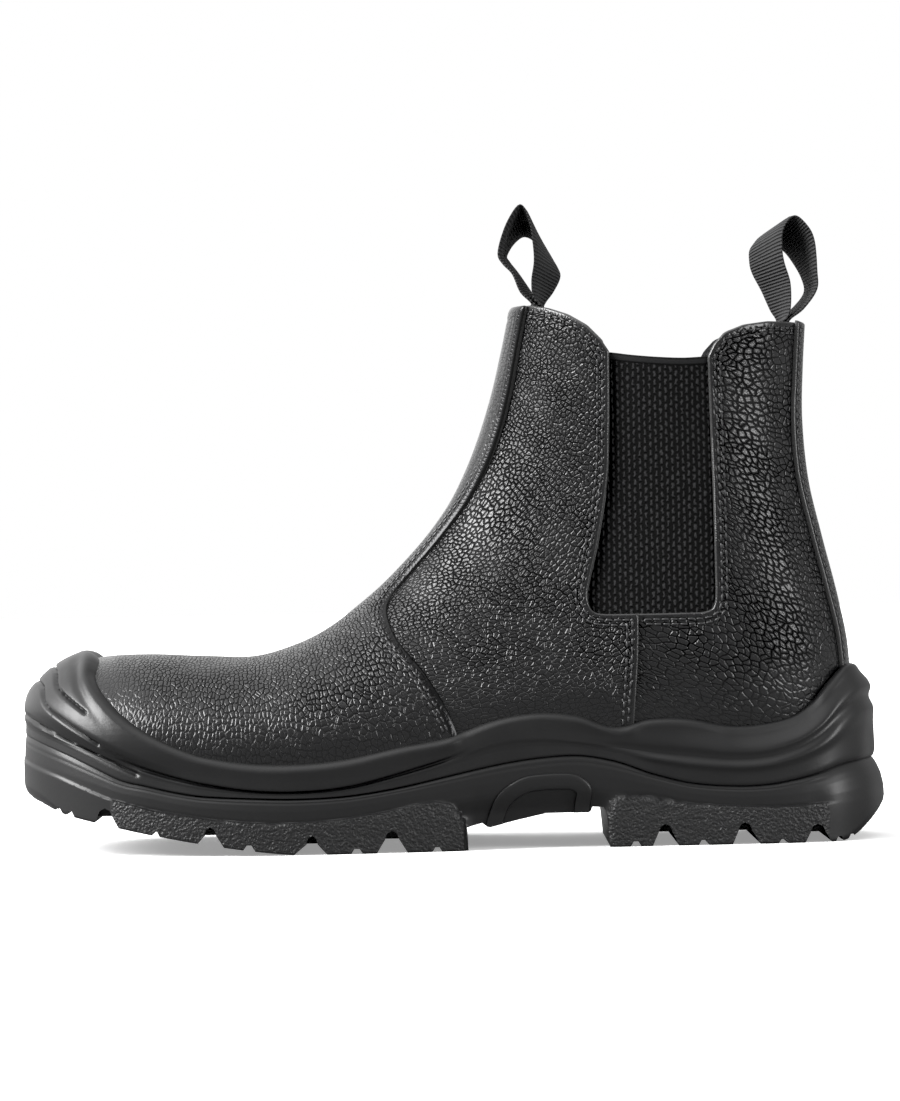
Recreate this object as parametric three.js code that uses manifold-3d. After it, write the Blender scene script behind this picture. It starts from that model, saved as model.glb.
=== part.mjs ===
// Side gore (elastic-sided) work boot for the left foot, in millimetres.
// The toe points to -X, the outer (lateral) side faces -Y and +Z is up from the floor.
// A hollow leather upper stands in a moulded sole whose toe end climbs over the toe box as a bumper.
// Leather panels lie on the upper as overlays, each cut between two lifts of one last form.
import * as THREE from "three";
import { mergeVertices } from "three/addons/utils/BufferGeometryUtils.js";
import Module from "manifold-3d";

const wasm = await Module();
wasm.setup();

// Driving sizes
const bootLength = 306; // bumper tip to heel back
const ballWidth = 114; // sole, across the ball
const shaftRise = 156; // front of the collar above the bed under the heel
const heelLift = 34; // bed above the floor, under the heel
const ballLift = 21; // bed above the floor, under the ball
const toeLift = 31; // bed above the floor, at the tip
const toeSpring = 18.5; // tread's rise at the tip
const heelBevel = 9; // tread's rise at the back of the heel
const treadDepth = 5; // transverse grooves of the tread
const archClear = 14; // floor to the waist of the sole
const upperWall = 3; // leather and lining together
const vampLeather = 2.4;
const quarterLeather = 1.5;
const goreThickness = 1.6;
const goreRecess = 0.8; // elastic below the leather round it
const insoleThickness = 4;
const bumperWall = 4.4; // moulded sole over the leather
const webWidth = 20; // pull loop tape
const webThickness = 1.5;
const loopRise = 36; // pull loop above the collar
const loopSeat = 14; // tape sewn in below the collar
const gap = 0.3; // clearance between pieces that meet

// A table's rows as objects with its named columns
function table(columns, rows) {
  return rows.map((row) => Object.fromEntries(columns.map((name, i) => [name, row[i]])));
}

// Smooth curve through equally spaced values
function catmull(values, u) {
  const last = values.length - 1;
  const i = Math.min(Math.max(Math.floor(u), 0), last - 1);
  const t = u - i;
  const [a, b, c, d] = [i - 1, i, i + 1, i + 2].map((k) => values[Math.min(Math.max(k, 0), last)]);
  return 0.5 * (2 * b + (c - a) * t + (2 * a - 5 * b + 4 * c - d) * t * t + (3 * b - a - 3 * c + d) * t ** 3);
}

// A table's column at a place along the boot, with the rows in rising order of along
function columnAt(rows, name, along) {
  const next = rows.findIndex((row) => row.along > along);
  if (next === 0) return rows[0][name];
  if (next < 0) return rows[rows.length - 1][name];
  const share = (along - rows[next - 1].along) / (rows[next].along - rows[next - 1].along);
  return catmull(rows.map((row) => row[name]), next - 1 + share);
}

const smooth = (t) => t * t * (3 - 2 * t);
const clamp01 = (t) => Math.min(Math.max(t, 0), 1);
const mix = (a, b, t) => a + (b - a) * t;

// Bed of the sole: low under the ball, higher under the heel, curling up to the tip
const ballX = -0.196 * bootLength;
const seatX = 0.245 * bootLength;
const tipX = -0.5 * bootLength;
function bed(x) {
  if (x < ballX) return ballLift + (toeLift - ballLift) * ((ballX - x) / (ballX - tipX)) ** 2;
  return mix(ballLift, heelLift, smooth(clamp01((x - ballX) / (seatX - ballX))));
}

// Last form: each row is one egg-shaped section from the top or front of the foot to its bottom or back.
// Along is a share of the length, up a share of the shaft's rise, and widths are shares of the ball's.
const lastSections = table(
  ["frontAlong", "frontUp", "backAlong", "backUp", "ridge", "lateral", "medial", "widest", "frontRound", "backRound"],
  [
    [-0.479, 0.051, -0.479, 0.041, 0.079, 0.035, 0.035, 0.5, 2, 2],
    [-0.4755, 0.096, -0.4765, 0, 0.079, 0.149, 0.14, 0.46, 2, 2.2],
    [-0.464, 0.141, -0.467, -0.04, 0.077, 0.254, 0.228, 0.44, 2.1, 2.4],
    [-0.444, 0.176, -0.448, -0.07, 0.074, 0.342, 0.298, 0.42, 2.2, 2.6],
    [-0.4085, 0.2, -0.412, -0.075, 0.069, 0.412, 0.351, 0.4, 2.3, 2.8],
    [-0.353, 0.205, -0.353, -0.075, 0.057, 0.456, 0.386, 0.4, 2.3, 3],
    [-0.288, 0.199, -0.278, -0.075, 0.045, 0.478, 0.403, 0.4, 2.25, 3],
    [-0.229, 0.199, -0.196, -0.075, 0.036, 0.483, 0.408, 0.4, 2.2, 3],
    [-0.1765, 0.229, -0.118, -0.075, 0.031, 0.474, 0.39, 0.38, 2.15, 3],
    [-0.137, 0.267, -0.039, -0.075, 0.027, 0.447, 0.364, 0.36, 2.05, 3],
    [-0.1007, 0.317, 0.039, -0.075, 0.025, 0.421, 0.338, 0.35, 2, 3],
    [-0.0706, 0.365, 0.118, -0.075, 0.022, 0.395, 0.32, 0.34, 2, 2.9],
    [-0.0405, 0.424, 0.196, -0.075, 0.018, 0.373, 0.316, 0.34, 2, 2.8],
    [-0.016, 0.479, 0.281, -0.075, 0.013, 0.355, 0.32, 0.35, 2, 2.7],
    [0.0085, 0.546, 0.366, -0.075, 0.009, 0.342, 0.32, 0.37, 2, 2.6],
    [0.0294, 0.622, 0.428, -0.045, 0.004, 0.333, 0.318, 0.4, 2, 2.4],
    [0.0454, 0.693, 0.4556, 0.064, 0, 0.326, 0.3175, 0.42, 2, 2.2],
    [0.0582, 0.7615, 0.4562, 0.205, 0, 0.32, 0.32, 0.44, 2, 2.1],
    [0.067, 0.819, 0.4451, 0.327, 0, 0.319, 0.319, 0.45, 2, 2],
    [0.0745, 0.881, 0.428, 0.465, 0, 0.316, 0.316, 0.46, 2, 2],
    [0.0804, 0.936, 0.4137, 0.593, 0, 0.311, 0.311, 0.47, 2, 2],
    [0.086, 1.002, 0.4078, 0.731, 0, 0.307, 0.307, 0.48, 2, 2],
    [0.0895, 1.048, 0.4098, 0.859, 0, 0.307, 0.307, 0.49, 2, 2],
    [0.0928, 1.093, 0.415, 1, 0, 0.307, 0.307, 0.5, 2, 2],
  ],
);
const lastColumns = Object.fromEntries(
  Object.keys(lastSections[0]).map((name) => [name, lastSections.map((row) => row[name])]),
);

// Point of the last at section u and angle round it, 0 at the front and a half turn at the back
function lastPoint(u, angle) {
  const at = (name) => catmull(lastColumns[name], u);
  const front = new THREE.Vector3(at("frontAlong") * bootLength, 0, heelLift + at("frontUp") * shaftRise);
  const backX = at("backAlong") * bootLength;
  const back = new THREE.Vector3(backX, 0, bed(backX) + at("backUp") * shaftRise);
  const spine = front.clone().sub(back);
  const centre = back.clone().addScaledVector(spine, at("widest"));
  const towardFront = Math.cos(angle);
  const toMedial = Math.sin(angle);
  const reach = spine.length() * (towardFront > 0 ? 1 - at("widest") : at("widest"));
  const half = ballWidth * (toMedial > 0 ? at("medial") : at("lateral"));
  const round = towardFront > 0 ? at("frontRound") : at("backRound");
  const bulge = (Math.abs(towardFront / reach) ** round + Math.abs(toMedial / half) ** round) ** (-1 / round);
  centre.addScaledVector(spine.normalize(), bulge * towardFront);
  centre.y = ballWidth * at("ridge") + bulge * toMedial;
  return centre;
}

const lastU = lastSections.length - 1;
const nudge = 0.02;
function lastNormal(u, angle) {
  const low = Math.max(u - nudge, 0);
  const high = Math.min(u + nudge, lastU);
  const alongStep = lastPoint(high, angle).sub(lastPoint(low, angle));
  const roundStep = lastPoint(u, angle + nudge).sub(lastPoint(u, angle - nudge));
  return alongStep.cross(roundStep).normalize();
}

// A closed mesh from loops of points, with a point at each end, as a solid
function solidFromLoops(loops, startPoint, endPoint) {
  const count = loops[0].length;
  const points = [startPoint, ...loops.flat(), endPoint];
  const at = (loop, k) => 1 + loop * count + (k % count);
  const faces = [];
  for (let k = 0; k < count; k++) {
    faces.push(0, at(0, k + 1), at(0, k));
    for (let i = 0; i + 1 < loops.length; i++) {
      faces.push(at(i, k), at(i, k + 1), at(i + 1, k + 1));
      faces.push(at(i, k), at(i + 1, k + 1), at(i + 1, k));
    }
    faces.push(points.length - 1, at(loops.length - 1, k), at(loops.length - 1, k + 1));
  }
  const closed = () =>
    new wasm.Manifold(
      new wasm.Mesh({
        numProp: 3,
        vertProperties: new Float32Array(points.flatMap((p) => [p.x, p.y, p.z])),
        triVerts: new Uint32Array(faces),
      }),
    );
  const made = closed();
  if (made.volume() > 0) return made;
  for (let i = 0; i < faces.length; i += 3) [faces[i + 1], faces[i + 2]] = [faces[i + 2], faces[i + 1]];
  return closed();
}

const mean = (points) =>
  points.reduce((sum, p) => sum.add(p), new THREE.Vector3()).divideScalar(points.length);

// The last grown by a lift all over. The heel's turn gets extra sections.
const around = 28;
const heelTurn = [13.5, 14.5, 15.5, 16.5];
const sampleU = [...lastSections.keys(), ...heelTurn].sort((a, b) => a - b);
function lastForm(lift) {
  const loops = sampleU.map((u) =>
    Array.from({ length: around }, (_, k) => {
      const angle = (2 * Math.PI * k) / around;
      return lastPoint(u, angle).addScaledVector(lastNormal(u, angle), lift);
    }),
  );
  const nose = mean(loops[0]);
  nose.x -= 0.3 * lift;
  return solidFromLoops(loops, nose, mean(loops[loops.length - 1]));
}

// The largest body of a solid, without the slivers a cut can leave
const sliver = 0.1;
const mainBody = (solid) => solid.simplify(sliver).decompose().sort((a, b) => b.volume() - a.volume())[0];

// three.js geometry as a solid, and back
function solidOf(geometry) {
  geometry.deleteAttribute("normal");
  geometry.deleteAttribute("uv");
  const merged = mergeVertices(geometry, 1e-4);
  return new wasm.Manifold(
    new wasm.Mesh({
      numProp: 3,
      vertProperties: merged.attributes.position.array,
      triVerts: new Uint32Array(merged.index.array),
    }),
  );
}
function geometryOf(solid) {
  const mesh = solid.getMesh();
  const geometry = new THREE.BufferGeometry();
  geometry.setAttribute("position", new THREE.BufferAttribute(mesh.vertProperties, 3));
  geometry.setIndex(new THREE.BufferAttribute(mesh.triVerts, 1));
  const flat = geometry.toNonIndexed();
  flat.computeVertexNormals();
  return flat;
}

// A side-view outline, given as [x, z] points, carried across the boot from one y to another
const farSide = ballWidth;
function acrossBoot(points, fromY = -farSide, toY = farSide) {
  const shape = new THREE.Shape(points.map(([x, z]) => new THREE.Vector2(x, z)));
  const geometry = new THREE.ExtrudeGeometry(shape, { depth: toY - fromY, bevelEnabled: false });
  geometry.rotateX(Math.PI / 2);
  geometry.translate(0, toY, 0);
  return solidOf(geometry);
}

// A rear-view outline, given as [y, z] points, carried along the back of the boot
function solidAlongBoot(points) {
  const shape = new THREE.Shape(points.map(([y, z]) => new THREE.Vector2(y, z)));
  const geometry = new THREE.ExtrudeGeometry(shape, { depth: 0.5 * bootLength, bevelEnabled: false });
  geometry.rotateX(Math.PI / 2);
  geometry.rotateZ(Math.PI / 2);
  geometry.translate(0.3 * bootLength, 0, 0);
  return solidOf(geometry);
}

// Side-view points from shares of the length and of the shaft's rise
const side = (points) => points.map(([along, up]) => [along * bootLength, heelLift + up * shaftRise]);

// An open line moved sideways, to its right as it runs
function shifted(points, distance) {
  return points.map((p, i) => {
    const before = points[Math.max(i - 1, 0)];
    const after = points[Math.min(i + 1, points.length - 1)];
    const run = Math.hypot(after[0] - before[0], after[1] - before[1]);
    return [p[0] + (distance * (after[1] - before[1])) / run, p[1] - (distance * (after[0] - before[0])) / run];
  });
}

// Points along a quarter circle, from one direction to another in degrees
function arc(centreX, centreZ, radius, fromDeg, toDeg, steps = 4) {
  return Array.from({ length: steps + 1 }, (_, k) => {
    const turn = THREE.MathUtils.degToRad(mix(fromDeg, toDeg, k / steps));
    return [centreX + radius * Math.cos(turn), centreZ + radius * Math.sin(turn)];
  });
}

// Far corners, well outside the boot
const farFront = -0.6 * bootLength;
const farBack = 0.6 * bootLength;
const farTop = heelLift + 1.5 * shaftRise;
const farBelow = -heelLift;

// Collar line of the front flap, and of the back flap, each running to the rear
const frontFlap = side([
  [0.097, 0.998],
  [0.114, 0.99],
  [0.137, 0.973],
  [0.159, 0.947],
  [0.176, 0.913],
  [0.185, 0.886],
]);
const backFlap = side([
  [0.299, 0.87],
  [0.306, 0.897],
  [0.319, 0.924],
  [0.342, 0.941],
  [0.371, 0.949],
]);

// Gore window: its front edge down, its round foot, and its back edge up
const goreCorner = 6;
const goreFootZ = heelLift + 0.299 * shaftRise;
const goreFootFront = 0.155 * bootLength;
const goreFootBack = 0.3015 * bootLength;
const goreFrontEdge = side([
  [0.1835, 0.71],
  [0.1805, 0.598],
  [0.169, 0.464],
  [0.159, 0.38],
]);
const goreBackEdge = side([
  [0.302, 0.415],
  [0.3015, 0.594],
]);
const goreOutline = [
  ...goreFrontEdge,
  ...arc(goreFootFront + goreCorner, goreFootZ + goreCorner, goreCorner, 180, 270),
  ...arc(goreFootBack - goreCorner, goreFootZ + goreCorner, goreCorner, 270, 360),
  ...goreBackEdge,
];
const goreTop = side([
  [0.185, 0.884],
  [0.21, 0.877],
  [0.24, 0.871],
  [0.27, 0.868],
  [0.299, 0.87],
]);
const frontCollarZ = frontFlap[0][1];
const backCollarZ = backFlap[backFlap.length - 1][1];

// All that lies above the collar or in the gore windows
const aboveCollar = acrossBoot([
  [farFront, frontCollarZ],
  ...frontFlap,
  ...goreOutline,
  ...backFlap,
  [farBack, backCollarZ],
  [farBack, farTop],
  [farFront, farTop],
]);

// All that lies above the bed, raised by a height
const bedSteps = 24;
function aboveBed(raise) {
  const line = Array.from({ length: bedSteps + 1 }, (_, k) => {
    const x = mix(farFront, farBack, k / bedSteps);
    return [x, bed(Math.max(x, tipX)) + raise];
  });
  return acrossBoot([...line, [farBack, farTop], [farFront, farTop]]);
}

// Edge of the vamp: from the sole up the seam, round its shoulder and up the strip to the collar
const vampEdge = side([
  [0.012, -0.25],
  [0.0055, 0.045],
  [-0.009, 0.109],
  [-0.0315, 0.182],
  [-0.0595, 0.247],
  [-0.0705, 0.288],
  [-0.0745, 0.324],
  [-0.0675, 0.355],
  [-0.0465, 0.404],
  [-0.011, 0.482],
  [0.024, 0.571],
  [0.0515, 0.672],
  [0.07, 0.785],
  [0.0815, 0.897],
  [0.0915, 0.996],
  [0.098, 1.06],
]);
const inFrontOf = (edge) => [...edge, [edge[edge.length - 1][0], farTop], [farFront, farTop], [farFront, farBelow]];

// Rear edge of the front quarter, straight down from the gore
const quarterBack = side([
  [0.2135, 0.33],
  [0.212, 0.2],
  [0.206, -0.25],
]);
const quarterOutline = (front, back) => [
  ...front,
  [back[0][0], farTop],
  ...back,
];

// Back strip: its half width, seen from behind, at a height
const stripHalf = table(
  ["up", "half"],
  [
    [-0.1, 0.088],
    [0.23, 0.088],
    [0.32, 0.09],
    [0.42, 0.104],
    [0.58, 0.109],
    [0.7, 0.096],
    [0.8, 0.084],
    [1.1, 0.08],
  ],
);
function stripOutline(grown) {
  const right = stripHalf.map((row) => [row.half * ballWidth + grown, heelLift + row.up * shaftRise]);
  const left = right.toReversed().map(([y, z]) => [-y, z]);
  return solidAlongBoot([...right, ...left]);
}

// Upper: one hollow shell, open at the collar, in the gore windows and underneath
const bodyForm = lastForm(0);
const liningForm = lastForm(-upperWall);
const seatedBed = aboveBed(gap);
const upper = bodyForm.subtract(liningForm).intersect(seatedBed).subtract(aboveCollar);

// Overlays: leather between two lifts of the last, within an outline
const quarterLift = gap + quarterLeather;
const vampLift = gap + vampLeather;
const underLeather = lastForm(gap);
const quarterForm = lastForm(quarterLift);
const vampForm = lastForm(vampLift);
function overlay(form, outline) {
  return form.subtract(underLeather).intersect(outline).intersect(seatedBed).subtract(aboveCollar);
}
const vamp = overlay(vampForm, acrossBoot(inFrontOf(vampEdge)));
const quarterRegion = quarterOutline(shifted(vampEdge, gap), quarterBack);
const quarterLateral = overlay(quarterForm, acrossBoot(quarterRegion, -farSide, 0));
const quarterMedial = overlay(quarterForm, acrossBoot(quarterRegion, 0, farSide));
const backStrip = overlay(quarterForm, stripOutline(0));

// Gores: elastic in the windows, set back from the leather
const goreForm = lastForm(-goreRecess).subtract(lastForm(-goreRecess - goreThickness));
const goreRegion = [...shifted(goreOutline, -gap), ...goreTop.toReversed()];
goreRegion[goreRegion.length - 1] = [goreTop[0][0] + gap, goreTop[0][1]];
goreRegion[goreOutline.length] = [goreTop[goreTop.length - 1][0] - gap, goreTop[goreTop.length - 1][1]];
const goreLateral = goreForm.intersect(acrossBoot(goreRegion, -farSide, 0));
const goreMedial = goreForm.intersect(acrossBoot(goreRegion, 0, farSide));

// Insole: fills the inside of the upper on the bed
const insole = lastForm(-upperWall - gap)
  .intersect(seatedBed)
  .subtract(aboveBed(gap + insoleThickness));

// Sole outline seen from above: reach to each side of the long axis, from the toe to the heel
const soleOutline = table(
  ["along", "lateral", "medial"],
  [
    [-0.487, 0.15, 0.28],
    [-0.451, 0.303, 0.404],
    [-0.392, 0.408, 0.474],
    [-0.32, 0.469, 0.498],
    [-0.235, 0.5, 0.492],
    [-0.15, 0.5, 0.465],
    [-0.072, 0.476, 0.43],
    [0.01, 0.441, 0.39],
    [0.092, 0.41, 0.364],
    [0.183, 0.382, 0.349],
    [0.281, 0.368, 0.353],
    [0.379, 0.351, 0.346],
    [0.4347, 0.307, 0.307],
    [0.4706, 0.219, 0.219],
    [0.49, 0.114, 0.114],
  ],
);
const toeTipAcross = 0.07;
const outlineCurve = new THREE.CatmullRomCurve3(
  [
    new THREE.Vector3(0.5 * bootLength, 0, 0),
    ...soleOutline.toReversed().map((row) => new THREE.Vector3(row.along * bootLength, -row.lateral * ballWidth, 0)),
    new THREE.Vector3(tipX, toeTipAcross * ballWidth, 0),
    ...soleOutline.map((row) => new THREE.Vector3(row.along * bootLength, row.medial * ballWidth, 0)),
  ],
  true,
  "centripetal",
);

// Side of the sole: heights are shares of the bed's height at that place along the boot.
// Lip inset is how far in from the outline its top edge lies, as a share of the ray depth,
// lean scales how far the bands stand in from the outline, and ribs is the bumper's share of rib depth.
const soleSide = table(
  ["along", "feather", "upperGroove", "parting", "lugTop", "lipInset", "lean", "ribs"],
  [
    [-0.5, 2.2, 1.5, 1.33, 0.87, 0.7, 0.45, 1],
    [-0.49, 2.24, 1.5, 1.33, 0.86, 0.68, 0.45, 1],
    [-0.467, 2.22, 1.48, 1.31, 0.84, 0.6, 0.5, 1],
    [-0.438, 2.14, 1.44, 1.26, 0.82, 0.42, 0.6, 0.9],
    [-0.408, 1.97, 1.38, 1.17, 0.78, 0.27, 0.7, 0.4],
    [-0.376, 1.82, 1.33, 1.06, 0.74, 0.18, 0.8, 0],
    [-0.35, 1.72, 1.27, 1.02, 0.71, 0.15, 0.9, 0],
    [-0.32, 1.57, 1.2, 0.96, 0.66, 0.15, 1, 0],
    [-0.288, 1.44, 1.13, 0.91, 0.61, 0.15, 1, 0],
    [-0.229, 1.33, 1.04, 0.865, 0.53, 0.15, 1, 0],
    [-0.173, 1.32, 1.0, 0.84, 0.515, 0.15, 1, 0],
    [-0.118, 1.36, 1.02, 0.835, 0.55, 0.15, 1, 0],
    [-0.061, 1.43, 1.11, 0.885, 0.62, 0.15, 1, 0],
    [-0.003, 1.47, 1.21, 0.965, 0.62, 0.15, 1, 0],
    [0.052, 1.515, 1.3, 1.01, 0.62, 0.15, 1, 0],
    [0.098, 1.465, 1.25, 1.01, 0.62, 0.15, 1, 0],
    [0.144, 1.36, 1.14, 0.975, 0.6, 0.15, 1, 0],
    [0.186, 1.19, 1.04, 0.88, 0.54, 0.15, 1, 0],
    [0.225, 1.245, 0.97, 0.735, 0.52, 0.15, 1, 0],
    [0.27, 1.29, 0.92, 0.63, 0.43, 0.15, 1, 0],
    [0.32, 1.235, 0.88, 0.59, 0.385, 0.15, 1, 0],
    [0.36, 1.26, 0.9, 0.6, 0.37, 0.15, 1.1, 0],
    [0.395, 1.37, 0.99, 0.65, 0.37, 0.17, 1.2, 0],
    [0.425, 1.53, 1.13, 0.71, 0.38, 0.19, 1.4, 0],
    [0.455, 1.7, 1.33, 0.78, 0.4, 0.23, 1.6, 0],
    [0.48, 1.78, 1.44, 0.81, 0.42, 0.27, 1.7, 0],
    [0.5, 1.8, 1.46, 0.82, 0.42, 0.28, 1.7, 0],
  ],
);

// Rows of the lower wall: inset from the outline, and height between two named levels
const wallRows = table(
  ["inset", "from", "to", "share"],
  [
    [2.2, "below", "below", 0],
    [0.5, "bottom", "lugTop", 0.3],
    [0, "bottom", "lugTop", 0.95],
    [1.5, "lugTop", "parting", 0.1],
    [1.0, "lugTop", "parting", 0.5],
    [1.6, "lugTop", "parting", 0.88],
    [3.2, "lugTop", "parting", 1],
    [1.8, "parting", "upperGroove", 0.25],
    [1.9, "parting", "upperGroove", 0.7],
    [3.6, "parting", "upperGroove", 1],
  ],
);

// Rows of the roll and bumper, from the upper groove to the lip: how far they stand off the leather,
// as a share of the bumper's wall, and how deep the bumper's ribs cut there
const rollRows = table(
  ["share", "standOff", "ribDepth"],
  [
    [0.1, 1.05, 0],
    [0.27, 1.15, 1.3],
    [0.36, 1.15, 0],
    [0.49, 1.12, 1.4],
    [0.58, 1.1, 0],
    [0.78, 1.0, 0],
    [0.94, 0.55, 0],
    [1, -1, 0],
  ],
);

// Tread line along the boot, without its grooves
const flatFront = -0.17 * bootLength;
const flatBack = 0.44 * bootLength;
const archFront = 0.011 * bootLength;
const archBack = 0.177 * bootLength;
function treadLine(x) {
  if (x < flatFront) return toeSpring * ((flatFront - x) / (flatFront - tipX)) ** 1.4;
  if (x > flatBack) return heelBevel * ((x - flatBack) / (0.5 * bootLength - flatBack)) ** 2;
  return 0;
}

// Distance from an inner point to the leather along a ray
const leatherMesh = new THREE.Mesh(geometryOf(vampForm), new THREE.MeshBasicMaterial({ side: THREE.DoubleSide }));
const ray = new THREE.Raycaster();
function leatherDistance(from, direction) {
  ray.set(from, direction);
  return ray.intersectObject(leatherMesh)[0].distance;
}

const wallKept = 2.2; // least sole outside the leather
function keptOutside(eye, p) {
  const direction = p.clone().sub(eye).normalize();
  const least = leatherDistance(eye, direction) + wallKept;
  return p.distanceTo(eye) < least ? eye.clone().addScaledVector(direction, least) : p;
}

const rayDepth = 0.333 * ballWidth; // inner point of the rays, in from the outline
const rayRise = 0.175 * ballWidth; // and up from the bed

// One upright profile of the sole's side, at a place round the outline, moved out by extra
function soleProfile(turn, extra) {
  const foot = outlineCurve.getPointAt(turn);
  const tangent = outlineCurve.getTangentAt(turn);
  const outward = new THREE.Vector3(-tangent.y, tangent.x, 0);
  const along = foot.x / bootLength;
  const at = (name) => columnAt(soleSide, name, along);
  const base = bed(foot.x);
  const levels = {
    below: farBelow,
    bottom: treadLine(foot.x),
    lugTop: at("lugTop") * base,
    parting: at("parting") * base,
    upperGroove: at("upperGroove") * base,
  };
  const eye = foot.clone().addScaledVector(outward, -rayDepth);
  eye.z = base + rayRise;
  const lower = wallRows.map((row) => {
    const inset = row.inset * (row.to === "lugTop" || row.to === "below" ? 1 : at("lean")) - extra;
    const p = foot.clone().addScaledVector(outward, -inset);
    p.z = mix(levels[row.from], levels[row.to], row.share);
    return p.z > base - wallKept ? keptOutside(eye, p) : p;
  });
  const groove = lower[lower.length - 1];
  const grooveOut = groove.clone().sub(eye).dot(outward);
  const grooveTilt = Math.atan2(groove.z - eye.z, grooveOut);
  const lipTilt = Math.atan2(at("feather") * base - eye.z, rayDepth * (1 - at("lipInset")));
  const roll = rollRows.map((row) => {
    const tilt = mix(grooveTilt, lipTilt, row.share);
    const direction = outward.clone().multiplyScalar(Math.cos(tilt));
    direction.z = Math.sin(tilt);
    const offLeather = leatherDistance(eye, direction) + row.standOff * bumperWall;
    const fromGroove = grooveOut / Math.cos(tilt);
    const blended = mix(Math.min(fromGroove, offLeather + bumperWall), offLeather, smooth(clamp01(row.share / 0.4)));
    return eye.clone().addScaledVector(direction, blended - row.ribDepth * at("ribs") + extra);
  });
  const inner = eye.clone();
  inner.z = base + insoleThickness;
  return [...lower, ...roll, inner];
}

const stations = 66;
function soleForm(extra) {
  const profiles = Array.from({ length: stations }, (_, k) => soleProfile(k / stations, extra));
  const loops = profiles[0].map((_, row) => profiles.map((profile) => profile[row]));
  return solidFromLoops(loops, new THREE.Vector3(0, 0, farBelow), new THREE.Vector3(0, 0, bed(0) + insoleThickness));
}

// Everything below the tread, with the arch of the waist and the transverse grooves
const treadGrooves = table(
  ["from", "to", "depth"],
  [
    [-0.4155, -0.386, 1.1],
    [-0.281, -0.263, 1.1],
    [-0.172, -0.15, 1],
    [-0.08, -0.059, 1],
    [0.2295, 0.2485, 1],
    [0.319, 0.3385, 1],
    [0.401, 0.428, 1.3],
  ],
);
const grooveFlare = 1.4;
const treadSteps = 14;
function belowTread() {
  const line = [];
  for (let k = 0; k <= treadSteps; k++) line.push(mix(tipX - 5, flatFront, k / treadSteps));
  line.push(archFront - 3, archBack + 1, flatBack);
  for (let k = 1; k <= 6; k++) line.push(mix(flatBack, 0.5 * bootLength + 5, k / 6));
  const ground = line.map((x) => [x, treadLine(x)]);
  const plain = acrossBoot([...ground, [farBack, farBelow * 2], [farFront, farBelow * 2]]);
  const arch = acrossBoot([
    [archFront - 3, farBelow],
    [archFront - 3, 0],
    [archFront, 0.6 * archClear],
    [archFront + 0.02 * bootLength, 0.55 * archClear],
    [mix(archFront, archBack, 0.4), 0.82 * archClear],
    [mix(archFront, archBack, 0.7), 0.96 * archClear],
    [archBack - 2, archClear],
    [archBack, 0.9 * archClear],
    [archBack + 1, 0],
    [archBack + 1, farBelow],
  ]);
  const grooves = treadGrooves.map((row) => {
    const [from, to] = [row.from * bootLength, row.to * bootLength];
    const level = Math.max(treadLine(from), treadLine(to)) + row.depth * treadDepth;
    return acrossBoot([
      [from - grooveFlare, farBelow],
      [from - grooveFlare, treadLine(from)],
      [from, level],
      [to, level],
      [to + grooveFlare, treadLine(to)],
      [to + grooveFlare, farBelow],
    ]);
  });
  return [arch, ...grooves].reduce((all, piece) => all.add(piece), plain);
}

// Channels along the tread, one in the forefoot and one in the heel
const channelWidth = 0.07 * ballWidth;
function channel(fromX, toX, across) {
  const geometry = new THREE.BoxGeometry(toX - fromX, channelWidth, 2 * treadDepth);
  geometry.translate((fromX + toX) / 2, across * ballWidth, 0);
  return solidOf(geometry);
}
const channels = channel(-0.36 * bootLength, archFront + 1, 0).add(channel(archBack - 1, 0.4 * bootLength, 0));

// Raised rim round the insert in the waist, on both sides
const insertRim = 1.1;
const insertWidth = 0.02 * bootLength;
const insertOutline = [
  [0.036, 0.4],
  [0.046, 0.63],
  [0.062, 0.76],
  [0.098, 0.8],
  [0.137, 0.79],
  [0.156, 0.72],
  [0.162, 0.58],
  [0.158, 0.4],
].map(([along, share]) => [along * bootLength, share * heelLift]);
const insertBand = acrossBoot(insertOutline).subtract(acrossBoot(shifted(insertOutline, insertWidth)));

// What the sole has to stay clear of: every piece of leather, grown by the gap
const envelope = lastForm(gap)
  .add(lastForm(vampLift + gap).intersect(acrossBoot(inFrontOf(shifted(vampEdge, gap)))))
  .add(lastForm(quarterLift + gap).intersect(acrossBoot(quarterOutline(vampEdge, shifted(quarterBack, -gap)))))
  .add(lastForm(quarterLift + gap).intersect(stripOutline(gap)))
  .intersect(aboveBed(0));
const wholeSole = soleForm(0)
  .add(soleForm(insertRim).intersect(insertBand))
  .subtract(envelope)
  .subtract(belowTread())
  .subtract(channels);

// The sole parts into a tread below and a cushioning unit above, along the parting line
function abovePartingLine(raise) {
  const line = soleSide.map((row) => [row.along * bootLength, row.parting * bed(row.along * bootLength) + raise]);
  return acrossBoot([
    [farFront, line[0][1]],
    ...line,
    [farBack, line[line.length - 1][1]],
    [farBack, farTop],
    [farFront, farTop],
  ]);
}
const outsole = wholeSole.subtract(abovePartingLine(-gap / 2));
const midsole = wholeSole.intersect(abovePartingLine(gap / 2));

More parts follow.
